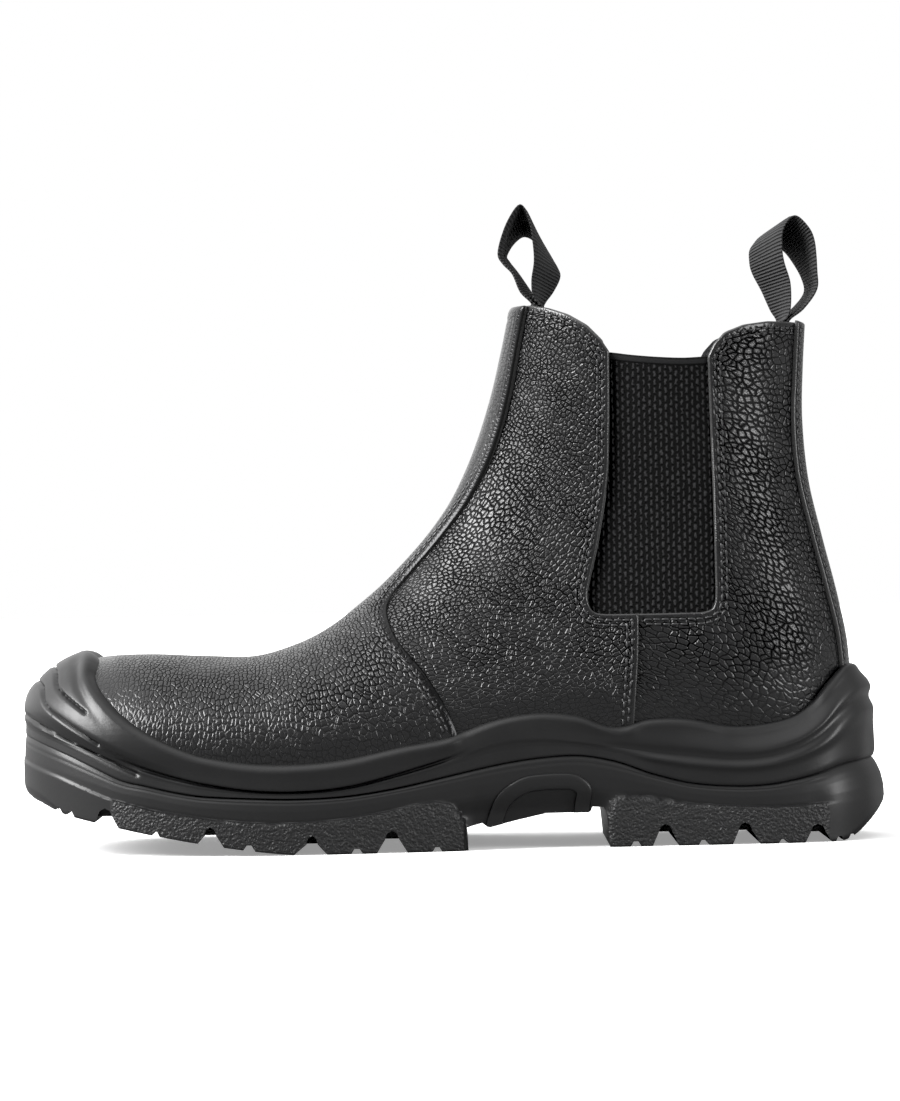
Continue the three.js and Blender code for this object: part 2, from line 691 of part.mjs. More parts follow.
// Pull loops: one flat tape each, sewn inside the collar and twisted as it rises.
// Each row gives its near and far edge: out from the collar's inside wall toward +X, and up from the
// collar, as shares of the loop's rise.
const tapeColumns = ["nearOut", "nearUp", "farOut", "farUp"];
const frontTape = table(tapeColumns, [
  [0.03, 0.05, 0.11, 0.05],
  [-0.07, 0.15, 0.05, 0.15],
  [-0.138, 0.324, -0.08, 0.34],
  [-0.235, 0.43, -0.166, 0.457],
  [-0.276, 0.535, -0.194, 0.531],
  [-0.202, 0.794, -0.093, 0.671],
  [-0.063, 0.999, 0.013, 0.711],
  [0.023, 0.873, 0.168, 0.598],
  [0.061, 0.653, 0.276, 0.449],
  [0.073, 0.445, 0.337, 0.322],
  [0.045, 0.25, 0.27, 0.17],
  [0.06, 0.08, 0.18, 0.05],
]);
const backTape = table(tapeColumns, [
  [-0.03, 0.05, -0.11, 0.05],
  [0.1, 0.15, 0.02, 0.15],
  [0.228, 0.332, 0.145, 0.307],
  [0.234, 0.509, 0.125, 0.465],
  [0.216, 0.801, 0.023, 0.646],
  [0.151, 0.953, -0.075, 0.758],
  [0.028, 1.055, -0.247, 0.872],
  [-0.081, 0.932, -0.38, 0.769],
  [-0.102, 0.75, -0.392, 0.63],
  [-0.085, 0.598, -0.364, 0.516],
  [-0.031, 0.4, -0.277, 0.346],
  [-0.03, 0.18, -0.19, 0.15],
  [-0.06, 0.06, -0.13, 0.05],
]);
const tapeSteps = 36;
const acrossShares = [0, 0.25, 0.5, 0.75, 1];

// Inside of the collar at a place across and up the boot, seen from its middle
const liningMesh = new THREE.Mesh(geometryOf(liningForm), leatherMesh.material);
function liningX(y, z, direction) {
  ray.set(new THREE.Vector3(0.25 * bootLength, y, z), new THREE.Vector3(direction, 0, 0));
  return ray.intersectObject(liningMesh)[0].point.x;
}

// A tape sewn in at the collar: inward is +1 where the boot's inside lies to +X
function pullLoop(collarZ, inward, tape) {
  const wallX = liningX(0, collarZ, -inward);
  const half = webWidth / 2;
  const seated = (depth, drop) =>
    acrossShares.map((share) => {
      const y = mix(-half, half, share);
      const z = collarZ - drop;
      return new THREE.Vector3(liningX(y, z, -inward) + inward * depth, y, z);
    });
  const free = tape.map((row) => {
    const run = [row.farOut - row.nearOut, row.farUp - row.nearUp].map((share) => share * loopRise);
    const reach = Math.sqrt(half ** 2 - (run[0] ** 2 + run[1] ** 2) / 4);
    const near = new THREE.Vector3(wallX + row.nearOut * loopRise, -reach, collarZ + row.nearUp * loopRise);
    const far = new THREE.Vector3(wallX + row.farOut * loopRise, reach, collarZ + row.farUp * loopRise);
    return acrossShares.map((share) => near.clone().lerp(far, share));
  });
  const first = 2 * gap + webThickness / 2;
  const second = first + webThickness + gap;
  const rows = [
    seated(first, loopSeat),
    seated(first, loopSeat / 2),
    seated(first, 1),
    ...free,
    seated(second, 1),
    seated(second, loopSeat / 2),
    seated(second, loopSeat),
  ];
  const lines = acrossShares.map(
    (_, j) => new THREE.CatmullRomCurve3(rows.map((row) => row[j]), false, "catmullrom", 0.5),
  );
  const loops = [];
  for (let k = 0; k <= tapeSteps; k++) {
    const at = lines.map((line) => line.getPoint(k / tapeSteps));
    const run = lines[2].getTangent(k / tapeSteps);
    const faceOut = run.cross(at[4].clone().sub(at[0])).normalize();
    const faces = [-1, 1].map((face) => at.map((p) => p.clone().addScaledVector(faceOut, (face * webThickness) / 2)));
    loops.push([...faces[0].toReversed(), ...faces[1]]);
  }
  return solidFromLoops(loops, mean(loops[0]), mean(loops[loops.length - 1]));
}
const frontLoop = pullLoop(frontCollarZ, 1, frontTape);
const backLoop = pullLoop(backCollarZ, -1, backTape);

// Materials
const finish = (color, roughness) => new THREE.MeshStandardMaterial({ color, roughness, metalness: 0 });
const grainLeather = finish(0x1c1c1d, 0.45);
const mouldedSole = finish(0x101011, 0.4);
const treadRubber = finish(0x161617, 0.7);
const elastic = finish(0x0b0b0c, 0.8);
const webbing = finish(0x121213, 0.75);
const liningFelt = finish(0x2b2b2d, 0.95);

const boot = new THREE.Group();
const pieces = [
  ["outsole", outsole, treadRubber],
  ["midsole", midsole, mouldedSole],
  ["insole", insole, liningFelt],
  ["upper", upper, grainLeather],
  ["vamp", vamp, grainLeather],
  ["quarter_lateral", quarterLateral, grainLeather],
  ["quarter_medial", quarterMedial, grainLeather],
  ["back_strip", backStrip, grainLeather],
  ["gore_lateral", goreLateral, elastic],
  ["gore_medial", goreMedial, elastic],
  ["pull_loop_front", frontLoop, webbing],
  ["pull_loop_back", backLoop, webbing],
];
for (const [name, solid, material] of pieces) {
  const mesh = new THREE.Mesh(geometryOf(mainBody(solid)), material);
  mesh.name = name;
  boot.add(mesh);
}

// Origin: on the floor, under the middle of the boot's own box
const box = new THREE.Box3().setFromObject(boot, true);
boot.position.set(-(box.min.x + box.max.x) / 2, -(box.min.y + box.max.y) / 2, -box.min.z);

export default boot;
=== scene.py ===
import math
import bmesh
import bpy
import numpy as np
from mathutils import Matrix, Vector
from mathutils.bvhtree import BVHTree
from mathutils.geometry import delaunay_2d_cdt


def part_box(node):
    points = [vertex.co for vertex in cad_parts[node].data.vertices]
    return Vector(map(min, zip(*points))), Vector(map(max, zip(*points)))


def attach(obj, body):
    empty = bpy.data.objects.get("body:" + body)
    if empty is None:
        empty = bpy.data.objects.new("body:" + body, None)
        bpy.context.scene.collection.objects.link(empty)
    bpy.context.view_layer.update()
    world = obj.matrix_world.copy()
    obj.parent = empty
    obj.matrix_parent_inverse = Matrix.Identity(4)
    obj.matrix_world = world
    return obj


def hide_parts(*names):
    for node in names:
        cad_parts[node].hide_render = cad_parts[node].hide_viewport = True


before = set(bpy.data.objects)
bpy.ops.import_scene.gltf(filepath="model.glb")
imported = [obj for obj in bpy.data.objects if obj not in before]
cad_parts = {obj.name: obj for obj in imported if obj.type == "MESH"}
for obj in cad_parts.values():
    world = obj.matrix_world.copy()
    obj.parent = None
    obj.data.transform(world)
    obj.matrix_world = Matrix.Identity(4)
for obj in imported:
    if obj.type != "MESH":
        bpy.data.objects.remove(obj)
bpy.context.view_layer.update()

# The last: the form that the boot is built on, left foot, toe to -X and outer side to -Y. It is a fan of
# egg-shaped sections from the tip of the toe to above the collar. Each runs between a point on the front
# or top of the foot and one on its bottom or back, in shares of the boot's own sizes.
mm = 0.001
sole_low, sole_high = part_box("outsole")
strip_low, strip_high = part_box("back_strip")
boot_length = sole_high.x - sole_low.x
ball_width = 114 * mm
heel_lift = 34 * mm
ball_lift = 21 * mm
toe_lift = 31 * mm
collar_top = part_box("upper")[1].z
shaft_rise = (collar_top - heel_lift) / 0.998
middle_y = (strip_low.y + strip_high.y) / 2
tip_x = -boot_length / 2
ball_x = -0.196 * boot_length
seat_x = 0.245 * boot_length
last_sections = np.array([
    # front along, front up, back along, back up, ridge, lateral, medial, widest, front round, back round
    [-0.479, 0.051, -0.479, 0.041, 0.079, 0.035, 0.035, 0.5, 2, 2],
    [-0.4755, 0.096, -0.4765, 0, 0.079, 0.149, 0.14, 0.46, 2, 2.2],
    [-0.464, 0.141, -0.467, -0.04, 0.077, 0.254, 0.228, 0.44, 2.1, 2.4],
    [-0.444, 0.176, -0.448, -0.07, 0.074, 0.342, 0.298, 0.42, 2.2, 2.6],
    [-0.4085, 0.2, -0.412, -0.075, 0.069, 0.412, 0.351, 0.4, 2.3, 2.8],
    [-0.353, 0.205, -0.353, -0.075, 0.057, 0.456, 0.386, 0.4, 2.3, 3],
    [-0.288, 0.199, -0.278, -0.075, 0.045, 0.478, 0.403, 0.4, 2.25, 3],
    [-0.229, 0.199, -0.196, -0.075, 0.036, 0.483, 0.408, 0.4, 2.2, 3],
    [-0.1765, 0.229, -0.118, -0.075, 0.031, 0.474, 0.39, 0.38, 2.15, 3],
    [-0.137, 0.267, -0.039, -0.075, 0.027, 0.447, 0.364, 0.36, 2.05, 3],
    [-0.1007, 0.317, 0.039, -0.075, 0.025, 0.421, 0.338, 0.35, 2, 3],
    [-0.0706, 0.365, 0.118, -0.075, 0.022, 0.395, 0.32, 0.34, 2, 2.9],
    [-0.0405, 0.424, 0.196, -0.075, 0.018, 0.373, 0.316, 0.34, 2, 2.8],
    [-0.016, 0.479, 0.281, -0.075, 0.013, 0.355, 0.32, 0.35, 2, 2.7],
    [0.0085, 0.546, 0.366, -0.075, 0.009, 0.342, 0.32, 0.37, 2, 2.6],
    [0.0294, 0.622, 0.428, -0.045, 0.004, 0.333, 0.318, 0.4, 2, 2.4],
    [0.0454, 0.693, 0.4556, 0.064, 0, 0.326, 0.3175, 0.42, 2, 2.2],
    [0.0582, 0.7615, 0.4562, 0.205, 0, 0.32, 0.32, 0.44, 2, 2.1],
    [0.067, 0.819, 0.4451, 0.327, 0, 0.319, 0.319, 0.45, 2, 2],
    [0.0745, 0.881, 0.428, 0.465, 0, 0.316, 0.316, 0.46, 2, 2],
    [0.0804, 0.936, 0.4137, 0.593, 0, 0.311, 0.311, 0.47, 2, 2],
    [0.086, 1.002, 0.4078, 0.731, 0, 0.307, 0.307, 0.48, 2, 2],
    [0.0895, 1.048, 0.4098, 0.859, 0, 0.307, 0.307, 0.49, 2, 2],
    [0.0928, 1.093, 0.415, 1, 0, 0.307, 0.307, 0.5, 2, 2],
])
last_end = len(last_sections) - 1


def bed(x):
    toe_part = ball_lift + (toe_lift - ball_lift) * np.clip((ball_x - x) / (ball_x - tip_x), 0, 1) ** 2
    climb = np.clip((x - ball_x) / (seat_x - ball_x), 0, 1)
    heel_part = ball_lift + (heel_lift - ball_lift) * climb * climb * (3 - 2 * climb)
    return np.where(x < ball_x, toe_part, heel_part)


def catmull(values, u):
    i = np.clip(np.floor(u).astype(int), 0, len(values) - 2)
    t = (u - i)[:, None]
    a, b, c, d = (values[np.clip(i + k, 0, len(values) - 1)] for k in (-1, 0, 1, 2))
    return 0.5 * (2 * b + (c - a) * t + (2 * a - 5 * b + 4 * c - d) * t**2 + (3 * b - a - 3 * c + d) * t**3)


def last_point(u, angle):
    row = catmull(last_sections, u)
    front_x, front_z = row[:, 0] * boot_length, heel_lift + row[:, 1] * shaft_rise
    back_x = row[:, 2] * boot_length
    back_z = bed(back_x) + row[:, 3] * shaft_rise
    spine = np.stack([front_x - back_x, front_z - back_z], 1)
    length = np.linalg.norm(spine, axis=1)
    spine /= length[:, None]
    toward_front, to_medial = np.cos(angle), np.sin(angle)
    reach = length * np.where(toward_front > 0, 1 - row[:, 7], row[:, 7])
    half = ball_width * np.where(to_medial > 0, row[:, 6], row[:, 5])
    power = np.where(toward_front > 0, row[:, 8], row[:, 9])
    bulge = (np.abs(toward_front / reach) ** power + np.abs(to_medial / half) ** power) ** (-1 / power)
    out = row[:, 7] * length + bulge * toward_front
    return np.stack([
        back_x + spine[:, 0] * out,
        middle_y + ball_width * row[:, 4] + bulge * to_medial,
        back_z + spine[:, 1] * out,
    ], 1)


# A point of the last moved out by a lift
def lifted(u, angle, lift=0.0):
    nudge = 0.01
    along = last_point(np.minimum(u + nudge, last_end), angle) - last_point(np.maximum(u - nudge, 0), angle)
    around = last_point(u, angle + nudge) - last_point(u, angle - nudge)
    normal = np.cross(along, around)
    normal /= np.linalg.norm(normal, axis=1)[:, None]
    return last_point(u, angle) + normal * np.reshape(lift, (-1, 1))


# Flat maps of the last, like a pattern cutter's tape copy: metres along it and metres round it. One is
# true along the front line, one along the side, and one along the back, where it also starts.
map_u = np.linspace(0, last_end, 301)
map_turn = np.linspace(-math.pi, math.pi, 361)


def flat_map(start_angle, true_angle):
    grid = [last_point(np.full(len(map_turn), u), map_turn + start_angle) for u in map_u]
    line = last_point(map_u, np.full(len(map_u), true_angle))
    along = np.concatenate([[0], np.cumsum(np.linalg.norm(np.diff(line, axis=0), axis=1))])
    steps = np.array([np.linalg.norm(np.diff(row, axis=0), axis=1) for row in grid])
    around = np.concatenate([np.zeros((len(map_u), 1)), np.cumsum(steps, axis=1)], axis=1)
    return along, around - around[:, 180][:, None], start_angle


front_map = flat_map(0, 0)
side_map = flat_map(0, -math.pi / 2)
back_map = flat_map(math.pi, math.pi)


def to_flat(flat, line):
    along, around, start_angle = flat
    u = line[:, 0]
    turn = (line[:, 1] - start_angle + math.pi) % (2 * math.pi) - math.pi
    i = np.clip((u / last_end * 300).astype(int), 0, 299)
    j = np.clip(((turn + math.pi) / math.pi * 180).astype(int), 0, 359)
    s = u / last_end * 300 - i
    t = (turn + math.pi) / math.pi * 180 - j
    low = around[i, j] * (1 - t) + around[i, j + 1] * t
    high = around[i + 1, j] * (1 - t) + around[i + 1, j + 1] * t
    return np.stack([along[i] * (1 - s) + along[i + 1] * s, low * (1 - s) + high * s], 1)


# From a flat map back onto the last, at a lift
def on_last(flat):
    along, around, start_angle = flat

    def lay(points, lift=0.0):
        u = np.interp(points[:, 0], along, map_u)
        i = np.clip((u / last_end * 300).astype(int), 0, 299)
        s = (u / last_end * 300 - i)[:, None]
        rows = around[i] * (1 - s) + around[i + 1] * s
        j = np.clip((rows < points[:, 1:2]).sum(1) - 1, 0, 359)
        k = np.arange(len(points))
        t = (points[:, 1] - rows[k, j]) / (rows[k, j + 1] - rows[k, j])
        return lifted(u, (j + t) / 180 * math.pi - math.pi + start_angle, lift)

    return lay


# Where places given by two of their axes lie on the last, on its near (-1) or far (+1) side
def find_on_last(places, side, lift=0.0, axes=(0, 2), turns=(0.08, math.pi - 0.05)):
    places = np.asarray(places, float)
    guess_u, guess_angle = np.meshgrid(np.linspace(0.5, last_end, 90), np.linspace(*turns, 60))
    guess_u, guess_angle = guess_u.ravel(), side * guess_angle.ravel()
    cloud = lifted(guess_u, guess_angle, lift)[:, axes]
    near = np.array([np.argmin(((cloud - p) ** 2).sum(1)) for p in places])
    u, angle = guess_u[near], guess_angle[near]
    for _ in range(12):
        here = lifted(u, angle, lift)[:, axes]
        by_u = (lifted(u + 0.02, angle, lift)[:, axes] - here) / 0.02
        by_angle = (lifted(u, angle + 0.01, lift)[:, axes] - here) / 0.01
        miss = places - here
        det = by_u[:, 0] * by_angle[:, 1] - by_u[:, 1] * by_angle[:, 0]
        det = np.where(np.abs(det) < 1e-8, 1e-8, det)
        step_u = (miss[:, 0] * by_angle[:, 1] - miss[:, 1] * by_angle[:, 0]) / det
        step_angle = (by_u[:, 0] * miss[:, 1] - by_u[:, 1] * miss[:, 0]) / det
        u = np.clip(u + np.clip(step_u, -0.5, 0.5), 0.02, last_end - 0.02)
        angle = side * np.clip(side * (angle + np.clip(step_angle, -0.2, 0.2)), 0.005, math.pi - 0.005)
    return np.stack([u, angle], 1)


# A line drawn smooth through given points, with even steps
def drawn(points, step=1.1 * mm):
    points = np.asarray(points, float)
    fine = catmull(points, np.linspace(0, len(points) - 1, 40 * len(points)))
    run = np.concatenate([[0], np.cumsum(np.linalg.norm(np.diff(fine, axis=0), axis=1))])
    even = np.linspace(0, run[-1], max(int(run[-1] / step), 2) + 1)
    return np.stack([np.interp(even, run, fine[:, k]) for k in range(fine.shape[1])], 1)


# Places in the side view, from shares of the length and of the shaft's rise
def side_view(points):
    return np.array([[along * boot_length, heel_lift + up * shaft_rise] for along, up in points])


def smooth_bump(value, low, peak, high):
    return np.sin(np.interp(value, (low, peak, high), (0, math.pi / 2, math.pi))) ** 2


def distance_to(lines, points):
    best = np.full(len(points), 9.0)
    for line in lines:
        a, b = line[:-1], line[1:]
        ab = b - a
        size = np.maximum((ab**2).sum(1), 1e-18)
        for start in range(0, len(points), 2000):
            p = points[start : start + 2000]
            t = np.clip(((p[:, None] - a) * ab).sum(2) / size, 0, 1)
            gap = np.sqrt(((p[:, None] - a - t[:, :, None] * ab) ** 2).sum(2).min(1))
            best[start : start + 2000] = np.minimum(best[start : start + 2000], gap)
    return best


def inside(loop, points):
    a, b = loop, np.roll(loop, -1, axis=0)
    slope = (b[:, 0] - a[:, 0]) / np.where(b[:, 1] == a[:, 1], 1e-12, b[:, 1] - a[:, 1])
    result = np.zeros(len(points), bool)
    for start in range(0, len(points), 4000):
        p = points[start : start + 4000, None]
        crosses = (a[:, 1] > p[:, :, 1]) != (b[:, 1] > p[:, :, 1])
        hits = crosses & (p[:, :, 0] < a[:, 0] + slope * (p[:, :, 1] - a[:, 1]))
        result[start : start + 4000] = hits.sum(1) % 2 == 1
    return result


def closed(loop):
    return np.vstack([loop, loop[:1]])


def even_loop(loop, step=1.2 * mm):
    line = closed(loop)
    run = np.concatenate([[0], np.cumsum(np.linalg.norm(np.diff(line, axis=0), axis=1))])
    keep = np.concatenate([[True], np.diff(run) > 1e-7])
    even = np.linspace(0, run[-1], int(run[-1] / step) + 1)[:-1]
    loop = np.stack([np.interp(even, run[keep], line[keep, k]) for k in (0, 1)], 1)
    area = (loop[:, 0] * np.roll(loop[:, 1], -1) - np.roll(loop[:, 0], -1) * loop[:, 1]).sum()
    return loop if area > 0 else loop[::-1]


# A line on a flat map moved to its left by a true distance on the last
def beside(lay, line, distance, ring=False):
    tangent = np.roll(line, -1, axis=0) - np.roll(line, 1, axis=0) if ring else np.gradient(line, axis=0)
    step = 0.2 * mm
    here = lay(line)
    by_first = (lay(line + [step, 0]) - here) / step
    by_second = (lay(line + [0, step]) - here) / step
    g11, g12, g22 = (by_first**2).sum(1), (by_first * by_second).sum(1), (by_second**2).sum(1)
    left = np.stack([-tangent[:, 1], tangent[:, 0]], 1)
    across = np.stack([g22 * left[:, 0] - g12 * left[:, 1], g11 * left[:, 1] - g12 * left[:, 0]], 1)
    across /= (g11 * g22 - g12**2)[:, None]
    across /= np.sqrt((left * across).sum(1))[:, None]
    return line + across * distance


# A sheet cut to a loop on a flat map: points and triangles, with rows of points close along its edge
def cut_sheet(lay, loop, rows, spacing):
    edge = closed(lay(loop))
    layers = [loop]
    for depth in rows:
        row = beside(lay, loop, depth, ring=True)
        row = row[inside(loop, row)]
        layers.append(row[distance_to([edge], lay(row)) > depth * 0.93])
    low, high = loop.min(0), loop.max(0)
    columns = np.arange(low[0], high[0], spacing)
    grid = np.array([
        (x + (k % 2) * spacing / 2, y)
        for k, y in enumerate(np.arange(low[1], high[1], spacing * 0.866))
        for x in columns
    ])
    grid = grid[inside(loop, grid)]
    last_row = rows[-1] if len(rows) else 0
    grid = grid[distance_to([edge], lay(grid)) > last_row + 0.6 * spacing]
    points = np.vstack(layers + [grid])
    loop_edges = [(i, (i + 1) % len(loop)) for i in range(len(loop))]
    made = delaunay_2d_cdt([Vector(p) for p in points], loop_edges, [], 0, 1e-7)
    flat = np.array([tuple(v) for v in made[0]])
    triangles = np.array([f for f in made[2] if len(f) == 3])
    triangles = triangles[inside(loop, flat[triangles].mean(1))]
    a, b, c = (flat[triangles[:, k]] for k in range(3))
    turned = (b[:, 0] - a[:, 0]) * (c[:, 1] - a[:, 1]) - (b[:, 1] - a[:, 1]) * (c[:, 0] - a[:, 0]) < 0
    triangles[turned] = triangles[turned][:, ::-1]
    used = np.unique(triangles)
    renumber = np.full(len(flat), -1)
    renumber[used] = np.arange(len(used))
    return flat[used], renumber[triangles]


def new_piece(name, points, faces, materials, face_material=None, smooth_deg=40, uv=None):
    mesh = bpy.data.meshes.new(name)
    mesh.from_pydata(np.asarray(points).tolist(), [], [[int(i) for i in face] for face in faces])
    for material in materials:
        mesh.materials.append(material)
    if face_material is not None:
        mesh.polygons.foreach_set("material_index", np.asarray(face_material, np.int32))
    if uv is not None:
        layer = mesh.uv_layers.new(name="pattern")
        corner = np.zeros(len(mesh.loops), np.int32)
        mesh.loops.foreach_get("vertex_index", corner)
        layer.data.foreach_set("uv", np.asarray(uv, np.float32)[corner].ravel())
    piece = bpy.data.objects.new(name, mesh)
    bpy.context.collection.objects.link(piece)
    bpy.ops.object.select_all(action="DESELECT")
    piece.select_set(True)
    bpy.context.view_layer.objects.active = piece
    bpy.ops.object.shade_smooth_by_angle(angle=math.radians(smooth_deg))
    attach(piece, "root")
    return piece


# Turns a closed mesh's faces outward, after merging points that lie on each other
def face_outward(piece):
    shape = bmesh.new()
    shape.from_mesh(piece.data)
    bmesh.ops.remove_doubles(shape, verts=shape.verts, dist=1e-7)
    bmesh.ops.recalc_face_normals(shape, faces=shape.faces)
    shape.to_mesh(piece.data)
    shape.free()


# How much each point has of something, for the materials
def point_values(piece, name, values):
    attribute = piece.data.attributes.new(name, "FLOAT", "POINT")
    attribute.data.foreach_set("value", np.asarray(values, np.float32))


# The line where the leather meets the sole, in the side view
feather_line = side_view([
    [-0.402, 0.218],
    [-0.387, 0.128],
    [-0.375, 0.092],
    [-0.35, 0.045],
    [-0.3215, 0.01],
    [-0.2875, -0.015],
    [-0.231, -0.037],
    [-0.1745, -0.039],
    [-0.1175, -0.026],
    [-0.061, 0.001],
    [-0.004, 0.03],
    [0.031, 0.055],
    [0.0765, 0.069],
    [0.122, 0.07],
    [0.156, 0.055],
    [0.1865, 0.036],
    [0.2245, 0.053],
    [0.259, 0.063],
    [0.304, 0.052],
    [0.35, 0.051],
    [0.384, 0.072],
    [0.4075, 0.097],
    [0.4305, 0.135],
    [0.454, 0.181],
])
seam_depth = 0.3 * mm
seam_width = 0.5 * mm
edge_rows = np.array([0.12, 0.35, 0.7, 1.2, 1.8, 2.3, 2.8, 3.4, 3.9, 4.4, 5.2]) * mm


# A panel cut to a loop on a flat map and laid on the last between two lifts, with a rounded cut edge.
# Its rim has the second material. Seams press a shallow groove into it.
def leather_panel(name, lay, loop, outer, inner, materials, seams=(), spacing=1.7 * mm, rows=edge_rows,
                  edge_round=0.75 * mm, edge_drop=0.75 * mm, uv_of=None):
    flat, triangles = cut_sheet(lay, loop, rows, spacing)
    body = lay(flat)
    to_edge = distance_to([closed(lay(loop))], body)
    top_lift = np.broadcast_to(outer(body) if callable(outer) else outer, len(flat))
    under_lift = np.broadcast_to(inner(body) if callable(inner) else inner, len(flat))
    drop = edge_drop * (1 - np.sqrt(1 - (1 - np.clip(to_edge / edge_round, 0, 1)) ** 2))
    if len(seams):
        from_seam = distance_to([lay(seam) for seam in seams], body)
        drop = drop + seam_depth * np.exp(-((from_seam / seam_width) ** 2))
    top = lay(flat, top_lift - drop)
    under = lay(flat, under_lift)
    count = len(flat)
    directed = {(t[k], t[(k + 1) % 3]) for t in triangles.tolist() for k in range(3)}
    rim = [(b, a, a + count, b + count) for a, b in directed if (b, a) not in directed]
    faces = triangles.tolist() + (triangles[:, ::-1] + count).tolist() + rim
    material_of = [0] * (2 * len(triangles)) + [1] * len(rim)
    first, second, third = (top[triangles[:, k]] for k in range(3))
    facing = np.cross(second - first, third - first)
    if (facing * (top - under)[triangles[:, 0]]).sum() < 0:
        faces = [face[::-1] for face in faces]
    uv = flat if uv_of is None else uv_of(body)
    piece = new_piece(name, np.vstack([top, under]), faces, materials, material_of, uv=np.vstack([uv, uv]))
    point_values(piece, "to_edge", np.concatenate([to_edge, to_edge]) / mm)
    rise_at = np.interp(body[:, 0], feather_line[:, 0], feather_line[:, 1])
    point_values(piece, "above_sole", np.tile(body[:, 2] - rise_at, 2) / mm)
    return piece


# Lining: thin felt inside the whole boot, from the insole to the collar, with the two windows open.
# It is cut in one piece and butts at the back seam.
def add_node(tree, kind, inputs=None, **settings):
    node = tree.nodes.new("ShaderNode" + kind)
    for name, value in settings.items():
        setattr(node, name, value)
    for name, value in (inputs or {}).items():
        if isinstance(value, bpy.types.NodeSocket):
            tree.links.new(value, node.inputs[name])
        else:
            node.inputs[name].default_value = value
    return node


def calc(tree, operation, first, second=0.0):
    return add_node(tree, "Math", {0: first, 1: second}, operation=operation).outputs[0]


# A smooth rise from 0 to 1, or between two other values, as a value goes from low to high
def rise(tree, value, low, high, start=0.0, end=1.0):
    inputs = {"Value": value, "From Min": low, "From Max": high, "To Min": start, "To Max": end}
    return add_node(tree, "MapRange", inputs, interpolation_type="SMOOTHSTEP").outputs[0]


def blend_colors(tree, amount, first, second):
    mix = add_node(tree, "Mix", {0: amount}, data_type="RGBA")
    for slot, color in ((6, first), (7, second)):
        if isinstance(color, bpy.types.NodeSocket):
            tree.links.new(color, mix.inputs[slot])
        else:
            mix.inputs[slot].default_value = (*color, 1)
    return mix.outputs[2]


def noise(tree, place, scale, detail=2.0, roughness=0.5):
    inputs = {"Vector": place, "Scale": scale, "Detail": detail, "Roughness": roughness}
    return add_node(tree, "TexNoise", inputs).outputs[0]


def new_effect(name, inputs, outputs):
    effect = bpy.data.node_groups.new(name, "ShaderNodeTree")
    for socket, kind, value in inputs:
        made = effect.interface.new_socket(name=socket, in_out="INPUT", socket_type="NodeSocket" + kind)
        if kind == "Float":
            made.default_value = value
    for socket in outputs:
        effect.interface.new_socket(name=socket, in_out="OUTPUT", socket_type="NodeSocketFloat")
    return effect, effect.nodes.new("NodeGroupInput").outputs, effect.nodes.new("NodeGroupOutput").inputs


def use_effect(tree, effect, inputs):
    node = add_node(tree, "Group", node_tree=effect)
    for name, value in inputs.items():
        if isinstance(value, bpy.types.NodeSocket):
            tree.links.new(value, node.inputs[name])
        else:
            node.inputs[name].default_value = value
    return node.outputs


def new_material(name, roughness):
    material = bpy.data.materials.new(name)
    material.use_nodes = True
    tree = material.node_tree
    shader = tree.nodes["Principled BSDF"]
    shader.inputs["Roughness"].default_value = roughness
    return material, tree, shader.inputs


def object_place(tree):
    return add_node(tree, "TexCoord").outputs["Object"]


def pattern_place(tree):
    return add_node(tree, "UVMap", uv_map="pattern").outputs[0]


def point_value(tree, name):
    return add_node(tree, "Attribute", attribute_name=name).outputs["Fac"]


def bump(tree, shader, height, depth):
    normal = add_node(tree, "Bump", {"Height": height, "Distance": depth, "Strength": 1.0}).outputs[0]
    tree.links.new(normal, shader["Normal"])


# Matted fibres, for felt
fibres, given, result = new_effect(
    "matted fibres", [("Place", "Vector", None), ("Size", "Float", 0.001)], ["Height"])
fibre_scale = calc(fibres, "DIVIDE", 1.0, given["Size"])
coarse = noise(fibres, given["Place"], fibre_scale, 3)
fine = noise(fibres, given["Place"], calc(fibres, "MULTIPLY", fibre_scale, 4.0), 2)
coarse_part = calc(fibres, "MULTIPLY", coarse, 0.6)
fine_part = calc(fibres, "MULTIPLY", fine, 0.4)
fibres.links.new(calc(fibres, "ADD", coarse_part, fine_part), result["Height"])


def felt(name, dark, pale):
    material, tree, shader = new_material(name, 0.95)
    height = use_effect(tree, fibres, {"Place": object_place(tree), "Size": 1.2 * mm})["Height"]
    tree.links.new(blend_colors(tree, rise(tree, height, 0.35, 0.65), dark, pale), shader["Base Color"])
    bump(tree, shader, height, 0.5 * mm)
    return material


lining_felt = felt("lining_felt", (0.022, 0.022, 0.023), (0.05, 0.05, 0.052))
front_flap = side_view([
    [0.097, 0.998],
    [0.114, 0.99],
    [0.137, 0.973],
    [0.159, 0.947],
    [0.176, 0.913],
    [0.185, 0.886],
])
back_flap = side_view([
    [0.299, 0.87],
    [0.306, 0.897],
    [0.319, 0.924],
    [0.342, 0.941],
    [0.371, 0.949],
])
window_front = side_view([
    [0.185, 0.886],
    [0.1845, 0.8],
    [0.1835, 0.71],
    [0.1805, 0.598],
    [0.169, 0.464],
    [0.159, 0.38],
    [0.1555, 0.345],
    [0.158, 0.317],
    [0.1645, 0.303],
    [0.178, 0.299],
])
window_foot = side_view([
    [0.178, 0.299],
    [0.23, 0.2985],
    [0.284, 0.299],
])
window_back = side_view([
    [0.284, 0.299],
    [0.2955, 0.304],
    [0.3005, 0.318],
    [0.302, 0.345],
    [0.302, 0.415],
    [0.3015, 0.594],
    [0.299, 0.87],
])
back_collar = back_flap[-1][1]
collar_line = np.vstack([front_flap, back_flap])


def collar_height(x):
    return np.interp(x, collar_line[:, 0], collar_line[:, 1])


